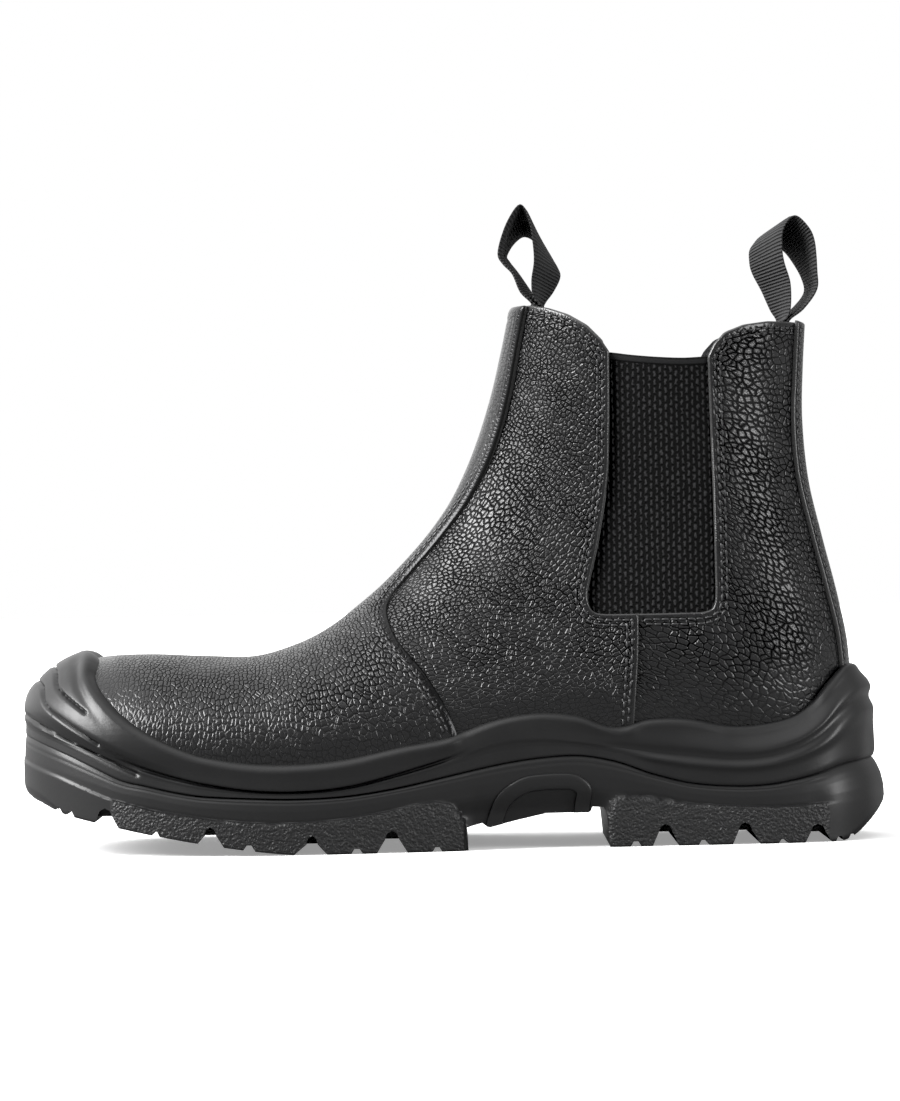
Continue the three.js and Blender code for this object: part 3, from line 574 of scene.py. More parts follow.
# The collar's edge from one turn round the last to another
def collar_edge(from_angle, to_angle, lift):
    line = []
    for angle in np.linspace(from_angle, to_angle, max(int(abs(to_angle - from_angle) * 40 / 1.2), 2)):
        sections = np.linspace(17, last_end, 240)
        p = lifted(sections, np.full(240, angle), lift)
        line.append((np.interp(0, p[:, 2] - collar_height(p[:, 0]), sections), angle))
    return np.array(line)


# The lower edge of a hidden allowance on one side: where the last dips below a height given along x
def low_edge(sections, side, height, lift=0.0):
    turns = np.linspace(0.02, math.pi - 0.002, 600)
    line = []
    for u in sections:
        p = lifted(np.full(600, u), side * turns, lift)
        under = p[:, 2] < height(p[:, 0])
        if under.any() and not under[0]:
            line.append((u, side * turns[np.argmax(under)]))
    return np.array(line)


def window_edge(side, lift, part):
    return find_on_last(drawn(part), side, lift)


lining_lift = (-2.25 * mm, -3 * mm)
lining_parts = []
for side in (-1, 1):
    front_corner = find_on_last(front_flap[-1:], side, lining_lift[0])[0]
    back_corner = find_on_last(back_flap[:1], side, lining_lift[0])[0]
    parts = (window_front, window_foot, window_back)
    window = np.vstack([window_edge(side, lining_lift[0], part)[:-1] for part in parts])
    lining_parts.append([
        collar_edge(0, front_corner[1], lining_lift[0])[:-1],
        window,
        collar_edge(back_corner[1], side * (math.pi - 0.002), lining_lift[0]),
        np.stack([np.linspace(22, 15.9, 60), np.full(60, side * (math.pi - 0.002))], 1),
        low_edge(np.linspace(15.8, 1.4, 200), side, lambda x: bed(x) + 1 * mm, lining_lift[0]),
    ])
near_side, far_side = (np.vstack(parts) for parts in lining_parts)
lining_loop = even_loop(to_flat(front_map, np.vstack([near_side, far_side[::-1]])), 1.6 * mm)
lining = leather_panel(
    "lining", on_last(front_map), lining_loop, lining_lift[0], lining_lift[1],
    [lining_felt, lining_felt], spacing=3.2 * mm, rows=[0.5 * mm, 1.2 * mm], edge_round=0.3 * mm,
    edge_drop=0.3 * mm)
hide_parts("upper")

# Back quarters: one piece of grain leather round the heel, from under one front quarter to the other.
# It carries the rear edge of each window and the back of the collar.
# Pebbled grain: round or long cells with sharp creases, pressed flat at a panel's edge and near the sole
grain, given, result = new_effect("pebbled grain", [
    ("Place", "Vector", None),
    ("Cell width", "Float", 0.0015),
    ("Cell length", "Float", 0.003),
    ("Turn", "Float", 0.0),
    ("From edge", "Float", 9.0),
    ("From sole", "Float", 60.0),
    ("On shaft", "Float", 1.0),
], ["Height", "Crease", "Smooth"])
turned = add_node(
    grain, "VectorRotate", {"Vector": given["Place"], "Angle": given["Turn"]},
    rotation_type="Z_AXIS").outputs[0]
per_width = calc(grain, "DIVIDE", 1.0, given["Cell width"])
per_length = calc(grain, "DIVIDE", 1.0, given["Cell length"])
to_cells = add_node(grain, "CombineXYZ", {"X": per_width, "Y": per_length, "Z": 1.0}).outputs[0]
cells = add_node(grain, "VectorMath", {0: turned, 1: to_cells}, operation="MULTIPLY").outputs[0]
wander = add_node(grain, "TexNoise", {"Vector": cells, "Scale": 0.55, "Detail": 2.0}).outputs["Color"]
wander = add_node(grain, "VectorMath", {0: wander, 1: (0.5, 0.5, 0.5)}, operation="SUBTRACT").outputs[0]
wander = add_node(grain, "VectorMath", {0: wander, "Scale": 0.8}, operation="SCALE").outputs[0]
cells = add_node(grain, "VectorMath", {0: cells, 1: wander}, operation="ADD").outputs[0]
large = add_node(
    grain, "TexVoronoi", {"Vector": cells, "Scale": 1.0, "Randomness": 0.85}, voronoi_dimensions="2D",
    feature="DISTANCE_TO_EDGE").outputs["Distance"]
small = add_node(
    grain, "TexVoronoi", {"Vector": cells, "Scale": 2.3}, voronoi_dimensions="2D",
    feature="DISTANCE_TO_EDGE").outputs["Distance"]
tall = add_node(
    grain, "TexVoronoi", {"Vector": cells, "Scale": 1.0, "Randomness": 0.85},
    voronoi_dimensions="2D").outputs["Color"]
tall = calc(grain, "MULTIPLY_ADD", tall, 0.55)
grain.nodes[-1].inputs[2].default_value = 0.45
pebble = calc(grain, "MULTIPLY", rise(grain, large, 0.0, 0.26), tall)
wrinkle = calc(grain, "MULTIPLY", rise(grain, small, 0.0, 0.3), 0.1)
strong = rise(grain, noise(grain, given["Place"], 45.0, 1), 0.3, 0.65, 0.7, 1.0)
on_shaft = rise(grain, given["From sole"], 50.0, 85.0, 1.0, given["On shaft"])
strong = calc(grain, "MULTIPLY", strong, on_shaft)
at_rim = rise(grain, given["From edge"], 0.7, 2.4, 0.12, 1.0)
at_sole = rise(grain, given["From sole"], 0.0, 26.0, 0.3, 1.0)
pressed = calc(grain, "MULTIPLY", calc(grain, "MULTIPLY", at_rim, at_sole), strong)
grain.links.new(calc(grain, "MULTIPLY", calc(grain, "ADD", pebble, wrinkle), pressed), result["Height"])
grain.links.new(calc(grain, "MULTIPLY", rise(grain, large, 0.02, 0.16, 1.0, 0.0), pressed), result["Crease"])
grain.links.new(calc(grain, "SUBTRACT", 1.0, pressed), result["Smooth"])


# The creases get painted shade, a near-black colour and a black metal's reflection, which is none; a turned
# edge gets painted shade too, by the amount of its band
def grain_leather(name, cell_width, cell_length, turn, depth, on_shaft=1.0,
                  edge_tone=(0.05, 0.05, 0.05), band=0.0):
    material, tree, shader = new_material(name, 0.4)
    skin = use_effect(tree, grain, {
        "Place": pattern_place(tree),
        "Cell width": cell_width,
        "Cell length": cell_length,
        "Turn": turn,
        "From edge": point_value(tree, "to_edge"),
        "From sole": point_value(tree, "above_sole"),
        "On shaft": on_shaft,
    })
    # Painted shade: the creases get a near-black base colour where shade would fall
    tone = blend_colors(tree, skin["Crease"], (0.011, 0.011, 0.0115), (0.0008, 0.0008, 0.0008))
    worn = rise(tree, point_value(tree, "to_edge"), 0.15, 0.7, 1.0, 0.0)
    tree.links.new(blend_colors(tree, worn, tone, edge_tone), shader["Base Color"])
    tree.links.new(rise(tree, skin["Crease"], 0.0, 1.0, 0.25, 0.75), shader["Roughness"])
    # Painted shade along a turned edge: up to 3.4 mm from the edge, by the amount of band
    painted_shade_band = rise(tree, point_value(tree, "to_edge"), 2.2, 3.4, band, 0.0)
    # Painted shade: metallic over the black base takes all reflection from the creases and from the turned
    # edge's band
    painted_shade = calc(tree, "MAXIMUM", calc(tree, "MULTIPLY", skin["Crease"], 0.95), painted_shade_band)
    tree.links.new(painted_shade, shader["Metallic"])
    bump(tree, shader, skin["Height"], depth)
    return material


def cut_leather(name):
    material, tree, shader = new_material(name, 0.85)
    height = use_effect(tree, fibres, {"Place": object_place(tree), "Size": 0.5 * mm})["Height"]
    tree.links.new(blend_colors(tree, height, (0.03, 0.03, 0.03), (0.12, 0.12, 0.12)), shader["Base Color"])
    bump(tree, shader, height, 0.3 * mm)
    return material


cut_edge = cut_leather("leather_cut_edge")
back_leather = grain_leather("back_quarter_leather", 2.2 * mm, 3.4 * mm, -0.35, 0.42 * mm)
smooth_feather = drawn(feather_line, 0.5 * mm)
under_sole = 7 * mm


def allowance(x):
    under_bumper = 14 * mm * np.clip((-96 * mm - x) / (16 * mm), 0, 1)
    return np.interp(x, smooth_feather[:, 0], smooth_feather[:, 1]) - under_sole - under_bumper


leather_under = -1.2 * mm
underlap_x = 0.186 * boot_length
back_parts = []
for side in (-1, 1):
    back_corner = find_on_last(back_flap[:1], side)[0]
    rear_foot = drawn(window_foot)
    rear_foot = rear_foot[rear_foot[:, 0] > underlap_x]
    down = np.array([[underlap_x, z] for z in np.linspace(rear_foot[0][1], 0.04, 60)])
    down = down[down[:, 1] > allowance(underlap_x)]
    down = find_on_last(down, side)
    back_parts.append([
        collar_edge(side * math.pi, back_corner[1], 0)[:-1],
        window_edge(side, 0, window_back)[::-1][:-1],
        find_on_last(rear_foot[::-1], side)[:-1],
        down,
        low_edge(np.linspace(down[-1][0], 16.6, 120), side, allowance)[1:],
    ])
near_side, far_side = (np.vstack(parts) for parts in back_parts)
back_lay = on_last(back_map)
back_loop = even_loop(to_flat(back_map, np.vstack([near_side, far_side[::-1]])))


# Stitches of black thread in a row beside a panel's edge, on the part of the edge that is sewn
stitch_pitch = 3.0 * mm
thread, thread_tree, thread_shader = new_material("black_thread", 0.4)
thread_shader["Base Color"].default_value = (0.03, 0.03, 0.031, 1)


def sewn_rows(lay, loop, insets, sewn):
    runs = []
    edge = [closed(lay(loop))]
    for inset in insets:
        row = beside(lay, loop, inset, ring=True)
        body = lay(row)
        good = sewn(body) & (distance_to(edge, body) > inset * 0.92)
        start = int(np.argmin(good))
        row, good = np.roll(row, -start, axis=0), np.roll(good, -start)
        breaks = np.flatnonzero(np.diff(good.astype(int))) + 1
        for piece, keep in zip(np.split(row, breaks), np.split(good, breaks)):
            if keep[0] and len(piece) > 6:
                runs.append(piece)
    return runs


def sew(name, lay, runs, lift):
    stitch_half = 1.2 * mm
    rings = np.array([[-1, 0.3], [-0.8, 0.85], [-0.3, 1], [0.3, 1], [0.8, 0.85], [1, 0.3]])
    sides = np.linspace(0, 2 * math.pi, 6, endpoint=False)
    points, faces = [], []
    for run in runs:
        body = lay(run)
        reach = np.concatenate([[0], np.cumsum(np.linalg.norm(np.diff(body, axis=0), axis=1))])
        places = np.arange(stitch_pitch / 2, reach[-1], stitch_pitch)
        centre = np.stack([np.interp(places, reach, run[:, k]) for k in (0, 1)], 1)
        ahead = np.stack([np.interp(places + 0.4 * mm, reach, run[:, k]) for k in (0, 1)], 1)
        middle = lay(centre, lift)
        forward = lay(ahead, lift) - middle
        forward /= np.maximum(np.linalg.norm(forward, axis=1), 1e-9)[:, None]
        up = lay(centre, lift + 1 * mm) - middle
        up /= np.linalg.norm(up, axis=1)[:, None]
        across = np.cross(up, forward)
        for m, f, u, a in zip(middle, forward, up, across):
            base_index = len(points)
            for along, width in rings:
                for turn in sides:
                    rise_up = (0.26 * math.sin(turn) + 0.04) * width - 0.16 * along**4
                    aside = a * 0.36 * math.cos(turn) * width + u * rise_up
                    points.append(m + f * along * stitch_half + aside * mm)
            for i in range(5):
                for k in range(6):
                    faces.append([base_index + j for j in (
                        i * 6 + k, i * 6 + (k + 1) % 6, (i + 1) * 6 + (k + 1) % 6, (i + 1) * 6 + k)])
            faces.append([base_index + k for k in range(5, -1, -1)])
            faces.append([base_index + 30 + k for k in range(6)])
    stitches = new_piece(name, points, faces, [thread], smooth_deg=60)
    face_outward(stitches)


def above_sole(body):
    return body[:, 2] - np.interp(body[:, 0], smooth_feather[:, 0], smooth_feather[:, 1])


def back_quarter_sewn(body):
    hidden = (body[:, 0] < 0.213 * boot_length) & (body[:, 2] < window_foot[0][1] - 1 * mm)
    under_strip = (np.abs(body[:, 1] - middle_y) < 12 * mm) & (body[:, 0] > 0.38 * boot_length)
    return (above_sole(body) > 1.5 * mm) & ~hidden & ~under_strip


rim_rows = (2.2 * mm, 4 * mm)
back_runs = sewn_rows(back_lay, back_loop, rim_rows, back_quarter_sewn)
back_quarters = leather_panel(
    "back_quarters", back_lay, back_loop, 0.0, leather_under, [back_leather, cut_edge], back_runs)
sew("back_quarter_stitches", back_lay, back_runs, 0.0)
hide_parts("upper")

# Gores: woven elastic sewn in behind the windows' edges, with a straight hem at the top
elastic, tree, shader = new_material("elastic_web", 0.8)
shader["Specular IOR Level"].default_value = 0.2
place = add_node(tree, "SeparateXYZ", {0: pattern_place(tree)}).outputs
upright = add_node(tree, "CombineXYZ", {"X": place["Y"], "Y": place["X"]}).outputs[0]
cord_pitch = 1.9 * mm
float_length = 2.9 * mm
waver = calc(tree, "MULTIPLY", noise(tree, upright, 700.0, 1), 0.7)
column = calc(tree, "ADD", calc(tree, "DIVIDE", place["X"], cord_pitch), waver)
stagger = calc(tree, "MULTIPLY", calc(tree, "FLOOR", column), 0.5)
along_cord = calc(tree, "FRACT", calc(tree, "ADD", calc(tree, "DIVIDE", place["Y"], float_length), stagger))
across_cord = calc(tree, "ABSOLUTE", calc(tree, "SUBTRACT", calc(tree, "FRACT", column), 0.5))
from_end = calc(tree, "ABSOLUTE", calc(tree, "SUBTRACT", along_cord, 0.5))
across_part = rise(tree, across_cord, 0.06, 0.3, 1.0, 0.0)
cords = calc(tree, "MULTIPLY", across_part, rise(tree, from_end, 0.2, 0.45, 1.0, 0.0))
from_top = point_value(tree, "to_edge")
cords = calc(tree, "MULTIPLY", cords, rise(tree, from_top, 2.6, 3.4))
hem = calc(tree, "MULTIPLY", rise(tree, from_top, 0.3, 1.2), rise(tree, from_top, 2.0, 2.8, 1.0, 0.0))
cords = calc(tree, "MAXIMUM", cords, calc(tree, "MULTIPLY", hem, 0.5))
threads = noise(tree, upright, 2600.0, 2)
height = calc(tree, "ADD", calc(tree, "MULTIPLY", threads, 0.3), cords)
# Painted highlight and shade: the raised cords and the hem are lighter and the gaps between them near black
tone = blend_colors(tree, cords, (0.0006, 0.0006, 0.0006), (0.03, 0.03, 0.031))
tree.links.new(tone, shader["Base Color"])
bump(tree, shader, height, 0.5 * mm)
gore_lift = (-1.3 * mm, -2.2 * mm)
gore_under = 6 * mm
gore_top = side_view([
    [0.185, 0.884],
    [0.21, 0.877],
    [0.24, 0.871],
    [0.27, 0.868],
    [0.299, 0.87],
])
for side, name in ((-1, "gore_lateral"), (1, "gore_medial")):
    window = np.vstack([drawn(part)[:-1] for part in (window_front, window_foot, window_back)])
    tangent = np.gradient(window, axis=0)
    tangent /= np.linalg.norm(tangent, axis=1)[:, None]
    grown = window + np.stack([tangent[:, 1], -tangent[:, 0]], 1) * gore_under
    grown = grown[distance_to([window], grown) > gore_under * 0.95]
    grown = grown[grown[:, 1] < gore_top[:, 1].min()]
    top = drawn([grown[-1] + [0, 0.5 * mm], *gore_top[::-1], grown[0] + [0, 3 * mm]])
    outline = find_on_last(np.vstack([grown, top]), side, gore_lift[0])
    gore_lay = on_last(side_map if side < 0 else front_map)
    gore = leather_panel(
        name + "_elastic", gore_lay, even_loop(to_flat(side_map if side < 0 else front_map, outline)),
        gore_lift[0], gore_lift[1], [elastic, elastic], spacing=2 * mm, edge_round=0.4 * mm,
        edge_drop=0.4 * mm, uv_of=lambda body: body[:, [0, 2]])
    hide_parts(name)

# Front quarters: each lies over the back quarters along a straight seam below the window, and runs
# under the vamp and its strip
quarter_outer = 1.2 * mm
quarter_leather = grain_leather("front_quarter_leather", 2.8 * mm, 1.6 * mm, 0.2, 0.42 * mm)
vamp_edge = side_view([
    [0.014, -0.03],
    [0.0055, 0.045],
    [-0.009, 0.109],
    [-0.0315, 0.182],
    [-0.0595, 0.247],
    [-0.0705, 0.288],
    [-0.0745, 0.324],
    [-0.0675, 0.355],
    [-0.0465, 0.404],
    [-0.011, 0.482],
    [0.024, 0.571],
    [0.0515, 0.672],
    [0.07, 0.785],
    [0.0815, 0.897],
    [0.0915, 0.996],
])
quarter_seam = side_view([
    [0.2135, 0.299],
    [0.212, 0.2],
    [0.206, 0.05],
    [0.203, -0.03],
])
quarter_under_vamp = side_view([
    [-0.012, -0.03],
    [-0.02, 0.045],
    [-0.035, 0.105],
    [-0.058, 0.17],
    [-0.084, 0.225],
    [-0.096, 0.27],
    [-0.0985, 0.312],
])
for side, name in ((-1, "quarter_lateral"), (1, "quarter_medial")):
    flat = side_map if side < 0 else front_map
    quarter_lay = on_last(flat)
    front_corner = find_on_last(front_flap[-1:], side, quarter_outer)[0]
    foot = drawn(window_foot)
    foot = foot[foot[:, 0] < quarter_seam[0][0]]
    seam = drawn(quarter_seam)
    seam = find_on_last(seam[seam[:, 1] > allowance(seam[:, 0])], side, quarter_outer)
    hidden = drawn(quarter_under_vamp)
    hidden = find_on_last(hidden[hidden[:, 1] > allowance(hidden[:, 0])], side, quarter_outer)
    centre = np.stack([np.linspace(10.2, 22, 80), np.full(80, side * 0.004)], 1)
    collar = collar_edge(side * 0.004, front_corner[1], quarter_outer)
    outline = np.vstack([
        hidden,
        centre[centre[:, 0] < collar[0][0] - 0.05],
        collar[:-1],
        window_edge(side, quarter_outer, window_front)[:-1],
        find_on_last(foot, side, quarter_outer)[:-1],
        seam,
        low_edge(np.linspace(seam[-1][0], hidden[0][0], 80), side, allowance, quarter_outer)[1:-1],
    ])

    def over_back_quarter(body):
        return np.where(body[:, 0] > underlap_x - 2 * mm, 0.04 * mm, leather_under)

    def front_quarter_sewn(body):
        from_vamp = body[:, 0] - np.interp(body[:, 2], vamp_edge[:, 1], vamp_edge[:, 0])
        return (above_sole(body) > 1.5 * mm) & (from_vamp > 1 * mm)

    quarter_loop = even_loop(to_flat(flat, outline))
    quarter_runs = sewn_rows(quarter_lay, quarter_loop, rim_rows, front_quarter_sewn)
    quarter = leather_panel(
        name + "_leather", quarter_lay, quarter_loop, quarter_outer, over_back_quarter,
        [quarter_leather, cut_edge], quarter_runs)
    sew(name + "_stitches", quarter_lay, quarter_runs, quarter_outer)
    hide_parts(name)

# Back strip: narrow leather over the back seam, from the heel cup to the collar
strip_half = np.array([
    [-0.1, 0.128],
    [0.23, 0.13],
    [0.32, 0.134],
    [0.42, 0.138],
    [0.58, 0.136],
    [0.7, 0.126],
    [0.8, 0.112],
    [1.1, 0.1],
])
strip_outer = 1.5 * mm
strip_u = np.linspace(16.4, 22, 120)
strip_side = []
for side in (-1, 1):
    z = last_point(strip_u, np.full(120, math.pi))[:, 2]
    row = np.interp((z - heel_lift) / shaft_rise, strip_half[:, 0], np.arange(len(strip_half)))
    half = catmull(strip_half, row)[:, 1] * ball_width
    strip_side.append(np.stack([np.interp(strip_u, map_u, back_map[0]), side * half], 1))
collar_end = np.interp(collar_edge(math.pi, math.pi - 0.01, strip_outer)[0][0], map_u, back_map[0])
near_side, far_side = (line[line[:, 0] < collar_end] for line in strip_side)
strip_loop = even_loop(np.vstack([
    near_side,
    [[collar_end, near_side[-1][1]], [collar_end, far_side[-1][1]]],
    far_side[::-1],
]))
strip_leather = grain_leather("back_strip_leather", 1.4 * mm, 2.1 * mm, 0.4, 0.3 * mm)
strip_runs = sewn_rows(
    back_lay, strip_loop, (1.8 * mm,),
    lambda body: (above_sole(body) > 2 * mm) & (np.abs(body[:, 1] - middle_y) > 5 * mm))
back_strip = leather_panel(
    "back_strip_leather", back_lay, strip_loop, strip_outer, 0.04 * mm, [strip_leather, cut_edge],
    strip_runs)
sew("back_strip_stitches", back_lay, strip_runs, strip_outer)
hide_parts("back_strip")

# Vamp and front strip: one piece of the outermost leather, laid over the front quarters. Its edge rises
# from the sole up the seam, turns at a rounded shoulder and follows the strip to the collar.
vamp_outer = 2.7 * mm


def vamp_face(body):
    shaft = smooth_bump(body[:, 2], 115 * mm, 165 * mm, 225 * mm)
    instep = smooth_bump(-body[:, 0], 15 * mm, 50 * mm, 90 * mm)
    return vamp_outer + 1.1 * mm * shaft - 0.7 * mm * instep


vamp_lay = on_last(front_map)
vamp_sides = []
for side in (-1, 1):
    edge = drawn(vamp_edge)
    edge = find_on_last(edge[edge[:, 1] > allowance(edge[:, 0])], side, vamp_outer)
    hidden = low_edge(np.linspace(edge[0][0], 2.2, 120), side, allowance, vamp_outer)[1:]
    vamp_sides.append((edge, hidden))
(near_edge, near_hidden), (far_edge, far_hidden) = vamp_sides
collar = collar_edge(near_edge[-1][1], far_edge[-1][1], vamp_outer)
vamp_loop = np.vstack([
    near_edge[near_edge[:, 0] < collar[0][0] - 0.03],
    collar,
    far_edge[far_edge[:, 0] < collar[-1][0] - 0.03][::-1],
    far_hidden,
    near_hidden[::-1],
])
vamp_loop = even_loop(to_flat(front_map, vamp_loop))


def over_quarters(body):
    lower_seam = np.interp(body[:, 2], quarter_under_vamp[:, 1], quarter_under_vamp[:, 0])
    return np.where(body[:, 0] > lower_seam - 1 * mm, 1.24 * mm, 0.2 * mm)


# The vamp's turned edge band is painted dark as shade (band 0.6)
vamp_leather = grain_leather(
    "vamp_leather", 1.4 * mm, 2.6 * mm, 0.05, 0.4 * mm, on_shaft=0.35,
    edge_tone=(0.012, 0.012, 0.012), band=0.6)
vamp_runs = sewn_rows(
    vamp_lay, vamp_loop, (3.3 * mm, 4.8 * mm),
    lambda body: (above_sole(body) > 1.5 * mm) & (body[:, 0] > -30 * mm) & (body[:, 2] < 186 * mm))
vamp = leather_panel(
    "vamp_leather", vamp_lay, vamp_loop, vamp_face, over_quarters, [vamp_leather, cut_edge], vamp_runs,
    edge_round=3 * mm, edge_drop=1.25 * mm)
sew("vamp_stitches", vamp_lay, vamp_runs, vamp_outer)
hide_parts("vamp")

# Insole: a felt board, a little dished, that fills the bottom of the boot
insole_thickness = 4 * mm
insole_edge = low_edge(np.linspace(1.5, 15.6, 200), -1, lambda x: bed(x) + insole_thickness, -3.3 * mm)
insole_far = low_edge(np.linspace(1.5, 15.6, 200), 1, lambda x: bed(x) + insole_thickness, -3.3 * mm)
insole_loop = lifted(*np.vstack([insole_edge, insole_far[::-1]]).T, -3.3 * mm)[:, :2]


def on_bed(points, lift=0.0):
    return np.column_stack([points, bed(points[:, 0]) + lift])


def dished(body):
    from_wall = distance_to([closed(insole_loop)], body[:, :2])
    return insole_thickness + 0.6 * mm - 1.6 * mm * np.clip(from_wall / (18 * mm), 0, 1) ** 1.5


insole_felt = felt("insole_felt", (0.03, 0.03, 0.031), (0.07, 0.07, 0.07))
insole = leather_panel(
    "insole_board", on_bed, even_loop(insole_loop, 2 * mm), dished, 0.5 * mm, [insole_felt, insole_felt],
    spacing=3 * mm, rows=np.array([0.4, 1, 2]) * mm, edge_round=0.5 * mm, edge_drop=0.5 * mm)
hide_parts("insole")

# Pull loops: one 20 mm tape each, sewn inside the collar and twisted as it rises. Each row gives its near
# and far edge: out from the collar's inside toward +X, and up from the collar, in shares of its rise.
tape_half = 10 * mm
tape_thickness = 1.5 * mm
loop_rise = 36 * mm
loop_seat = 14 * mm
front_tape = np.array([
    [0.03, 0.05, 0.11, 0.05],
    [-0.07, 0.15, 0.05, 0.15],
    [-0.138, 0.324, -0.08, 0.34],
    [-0.235, 0.43, -0.166, 0.457],
    [-0.276, 0.535, -0.194, 0.531],
    [-0.202, 0.794, -0.093, 0.671],
    [-0.063, 0.999, 0.013, 0.711],
    [0.023, 0.873, 0.168, 0.598],
    [0.061, 0.653, 0.276, 0.449],
    [0.073, 0.445, 0.337, 0.322],
    [0.045, 0.25, 0.27, 0.17],
    [0.06, 0.08, 0.18, 0.05],
])
back_tape = np.array([
    [-0.03, 0.05, -0.11, 0.05],
    [0.1, 0.15, 0.02, 0.15],
    [0.228, 0.332, 0.145, 0.307],
    [0.234, 0.509, 0.125, 0.465],
    [0.216, 0.801, 0.023, 0.646],
    [0.151, 0.953, -0.075, 0.758],
    [0.028, 1.055, -0.247, 0.872],
    [-0.081, 0.932, -0.38, 0.769],
    [-0.102, 0.75, -0.392, 0.63],
    [-0.085, 0.598, -0.364, 0.516],
    [-0.031, 0.4, -0.277, 0.346],
    [-0.03, 0.18, -0.19, 0.15],
    [-0.06, 0.06, -0.13, 0.05],
])
tape_across = np.linspace(-1, 1, 11)
webbing, tree, shader = new_material("loop_webbing", 0.75)
place = add_node(tree, "SeparateXYZ", {0: pattern_place(tree)}).outputs
rib_pitch = 1.15 * mm
slack = calc(tree, "MULTIPLY", noise(tree, pattern_place(tree), 900.0, 2), 1.6)
ribs_turn = calc(tree, "MULTIPLY", place["Y"], 2 * math.pi / rib_pitch)
ribs_wave = calc(tree, "SINE", calc(tree, "ADD", ribs_turn, slack))
warp_wave = calc(tree, "SINE", calc(tree, "MULTIPLY", place["X"], 2 * math.pi / (0.9 * mm)))
height = calc(tree, "ADD", ribs_wave, calc(tree, "MULTIPLY", warp_wave, 0.25))
# Painted highlight and shade: rib crests are lighter and rib valleys darker
tree.links.new(
    blend_colors(tree, rise(tree, height, -0.8, 0.9), (0.004, 0.004, 0.004), (0.022, 0.022, 0.023)),
    shader["Base Color"])
bump(tree, shader, height, 0.16 * mm)


# The tape's points on the lining at a height, moved inward from it
def seated(collar_z, inward, depth, down):
    y = tape_across * tape_half
    turns = (0.004, 1.2) if inward > 0 else (1.9, math.pi - 0.004)
    places = np.stack([np.abs(y - middle_y) + 1e-5, np.full(len(y), collar_z - down)], 1)
    found = find_on_last(places + [middle_y, 0], 1, -3 * mm, (1, 2), turns)
    wall = lifted(found[:, 0], found[:, 1], -3 * mm)
    return np.stack([wall[:, 0] + inward * depth, y, np.full(len(y), collar_z - down)], 1)


for name, tape, collar_z, inward in (
    ("pull_loop_front", front_tape, collar_top, 1),
    ("pull_loop_back", back_tape, back_collar, -1),
):
    first = 0.6 * mm + tape_thickness / 2
    second = first + tape_thickness + 0.3 * mm
    wall_x = seated(collar_z, inward, 0, 0)[5, 0]
    rows = [seated(collar_z, inward, first, down) for down in (loop_seat, loop_seat / 2, 1 * mm)]
    for near_out, near_up, far_out, far_up in tape * loop_rise:
        reach = math.sqrt(tape_half**2 - ((far_out - near_out) ** 2 + (far_up - near_up) ** 2) / 4)
        near = np.array([wall_x + near_out, -reach, collar_z + near_up])
        far = np.array([wall_x + far_out, reach, collar_z + far_up])
        rows.append(near + (far - near) * (tape_across[:, None] + 1) / 2)
    rows += [seated(collar_z, inward, second, down) for down in (1 * mm, loop_seat / 2, loop_seat)]
    rows = np.array(rows).reshape(len(rows), -1)
    path = drawn(rows, 0.9 * mm * math.sqrt(len(tape_across))).reshape(-1, len(tape_across), 3)
    along = np.gradient(path, axis=0)
    across = np.gradient(path, axis=1)
    out = np.cross(along, across)
    out /= np.linalg.norm(out, axis=2)[:, :, None]
    rounded = tape_thickness / 2 * (1 - 0.75 * np.abs(tape_across[None, :, None]) ** 10)
    ring = np.concatenate([path + out * rounded, (path - out * rounded)[:, ::-1]], 1)
    run = np.concatenate([[0], np.cumsum(np.linalg.norm(np.diff(path[:, 5], axis=0), axis=1))])
    side_run = np.concatenate([tape_across, tape_across[::-1]]) * tape_half
    count = ring.shape[1]
    faces = [
        (i * count + k, i * count + (k + 1) % count, (i + 1) * count + (k + 1) % count, (i + 1) * count + k)
        for i in range(len(ring) - 1)
        for k in range(count)
    ]
    faces += [tuple(range(count))[::-1], tuple(range((len(ring) - 1) * count, len(ring) * count))]
    uv = np.stack(np.meshgrid(side_run, run), -1).reshape(-1, 2)
    loop = new_piece(name + "_tape", ring.reshape(-1, 3), faces, [webbing], smooth_deg=60, uv=uv)
    face_outward(loop)
    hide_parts(name)

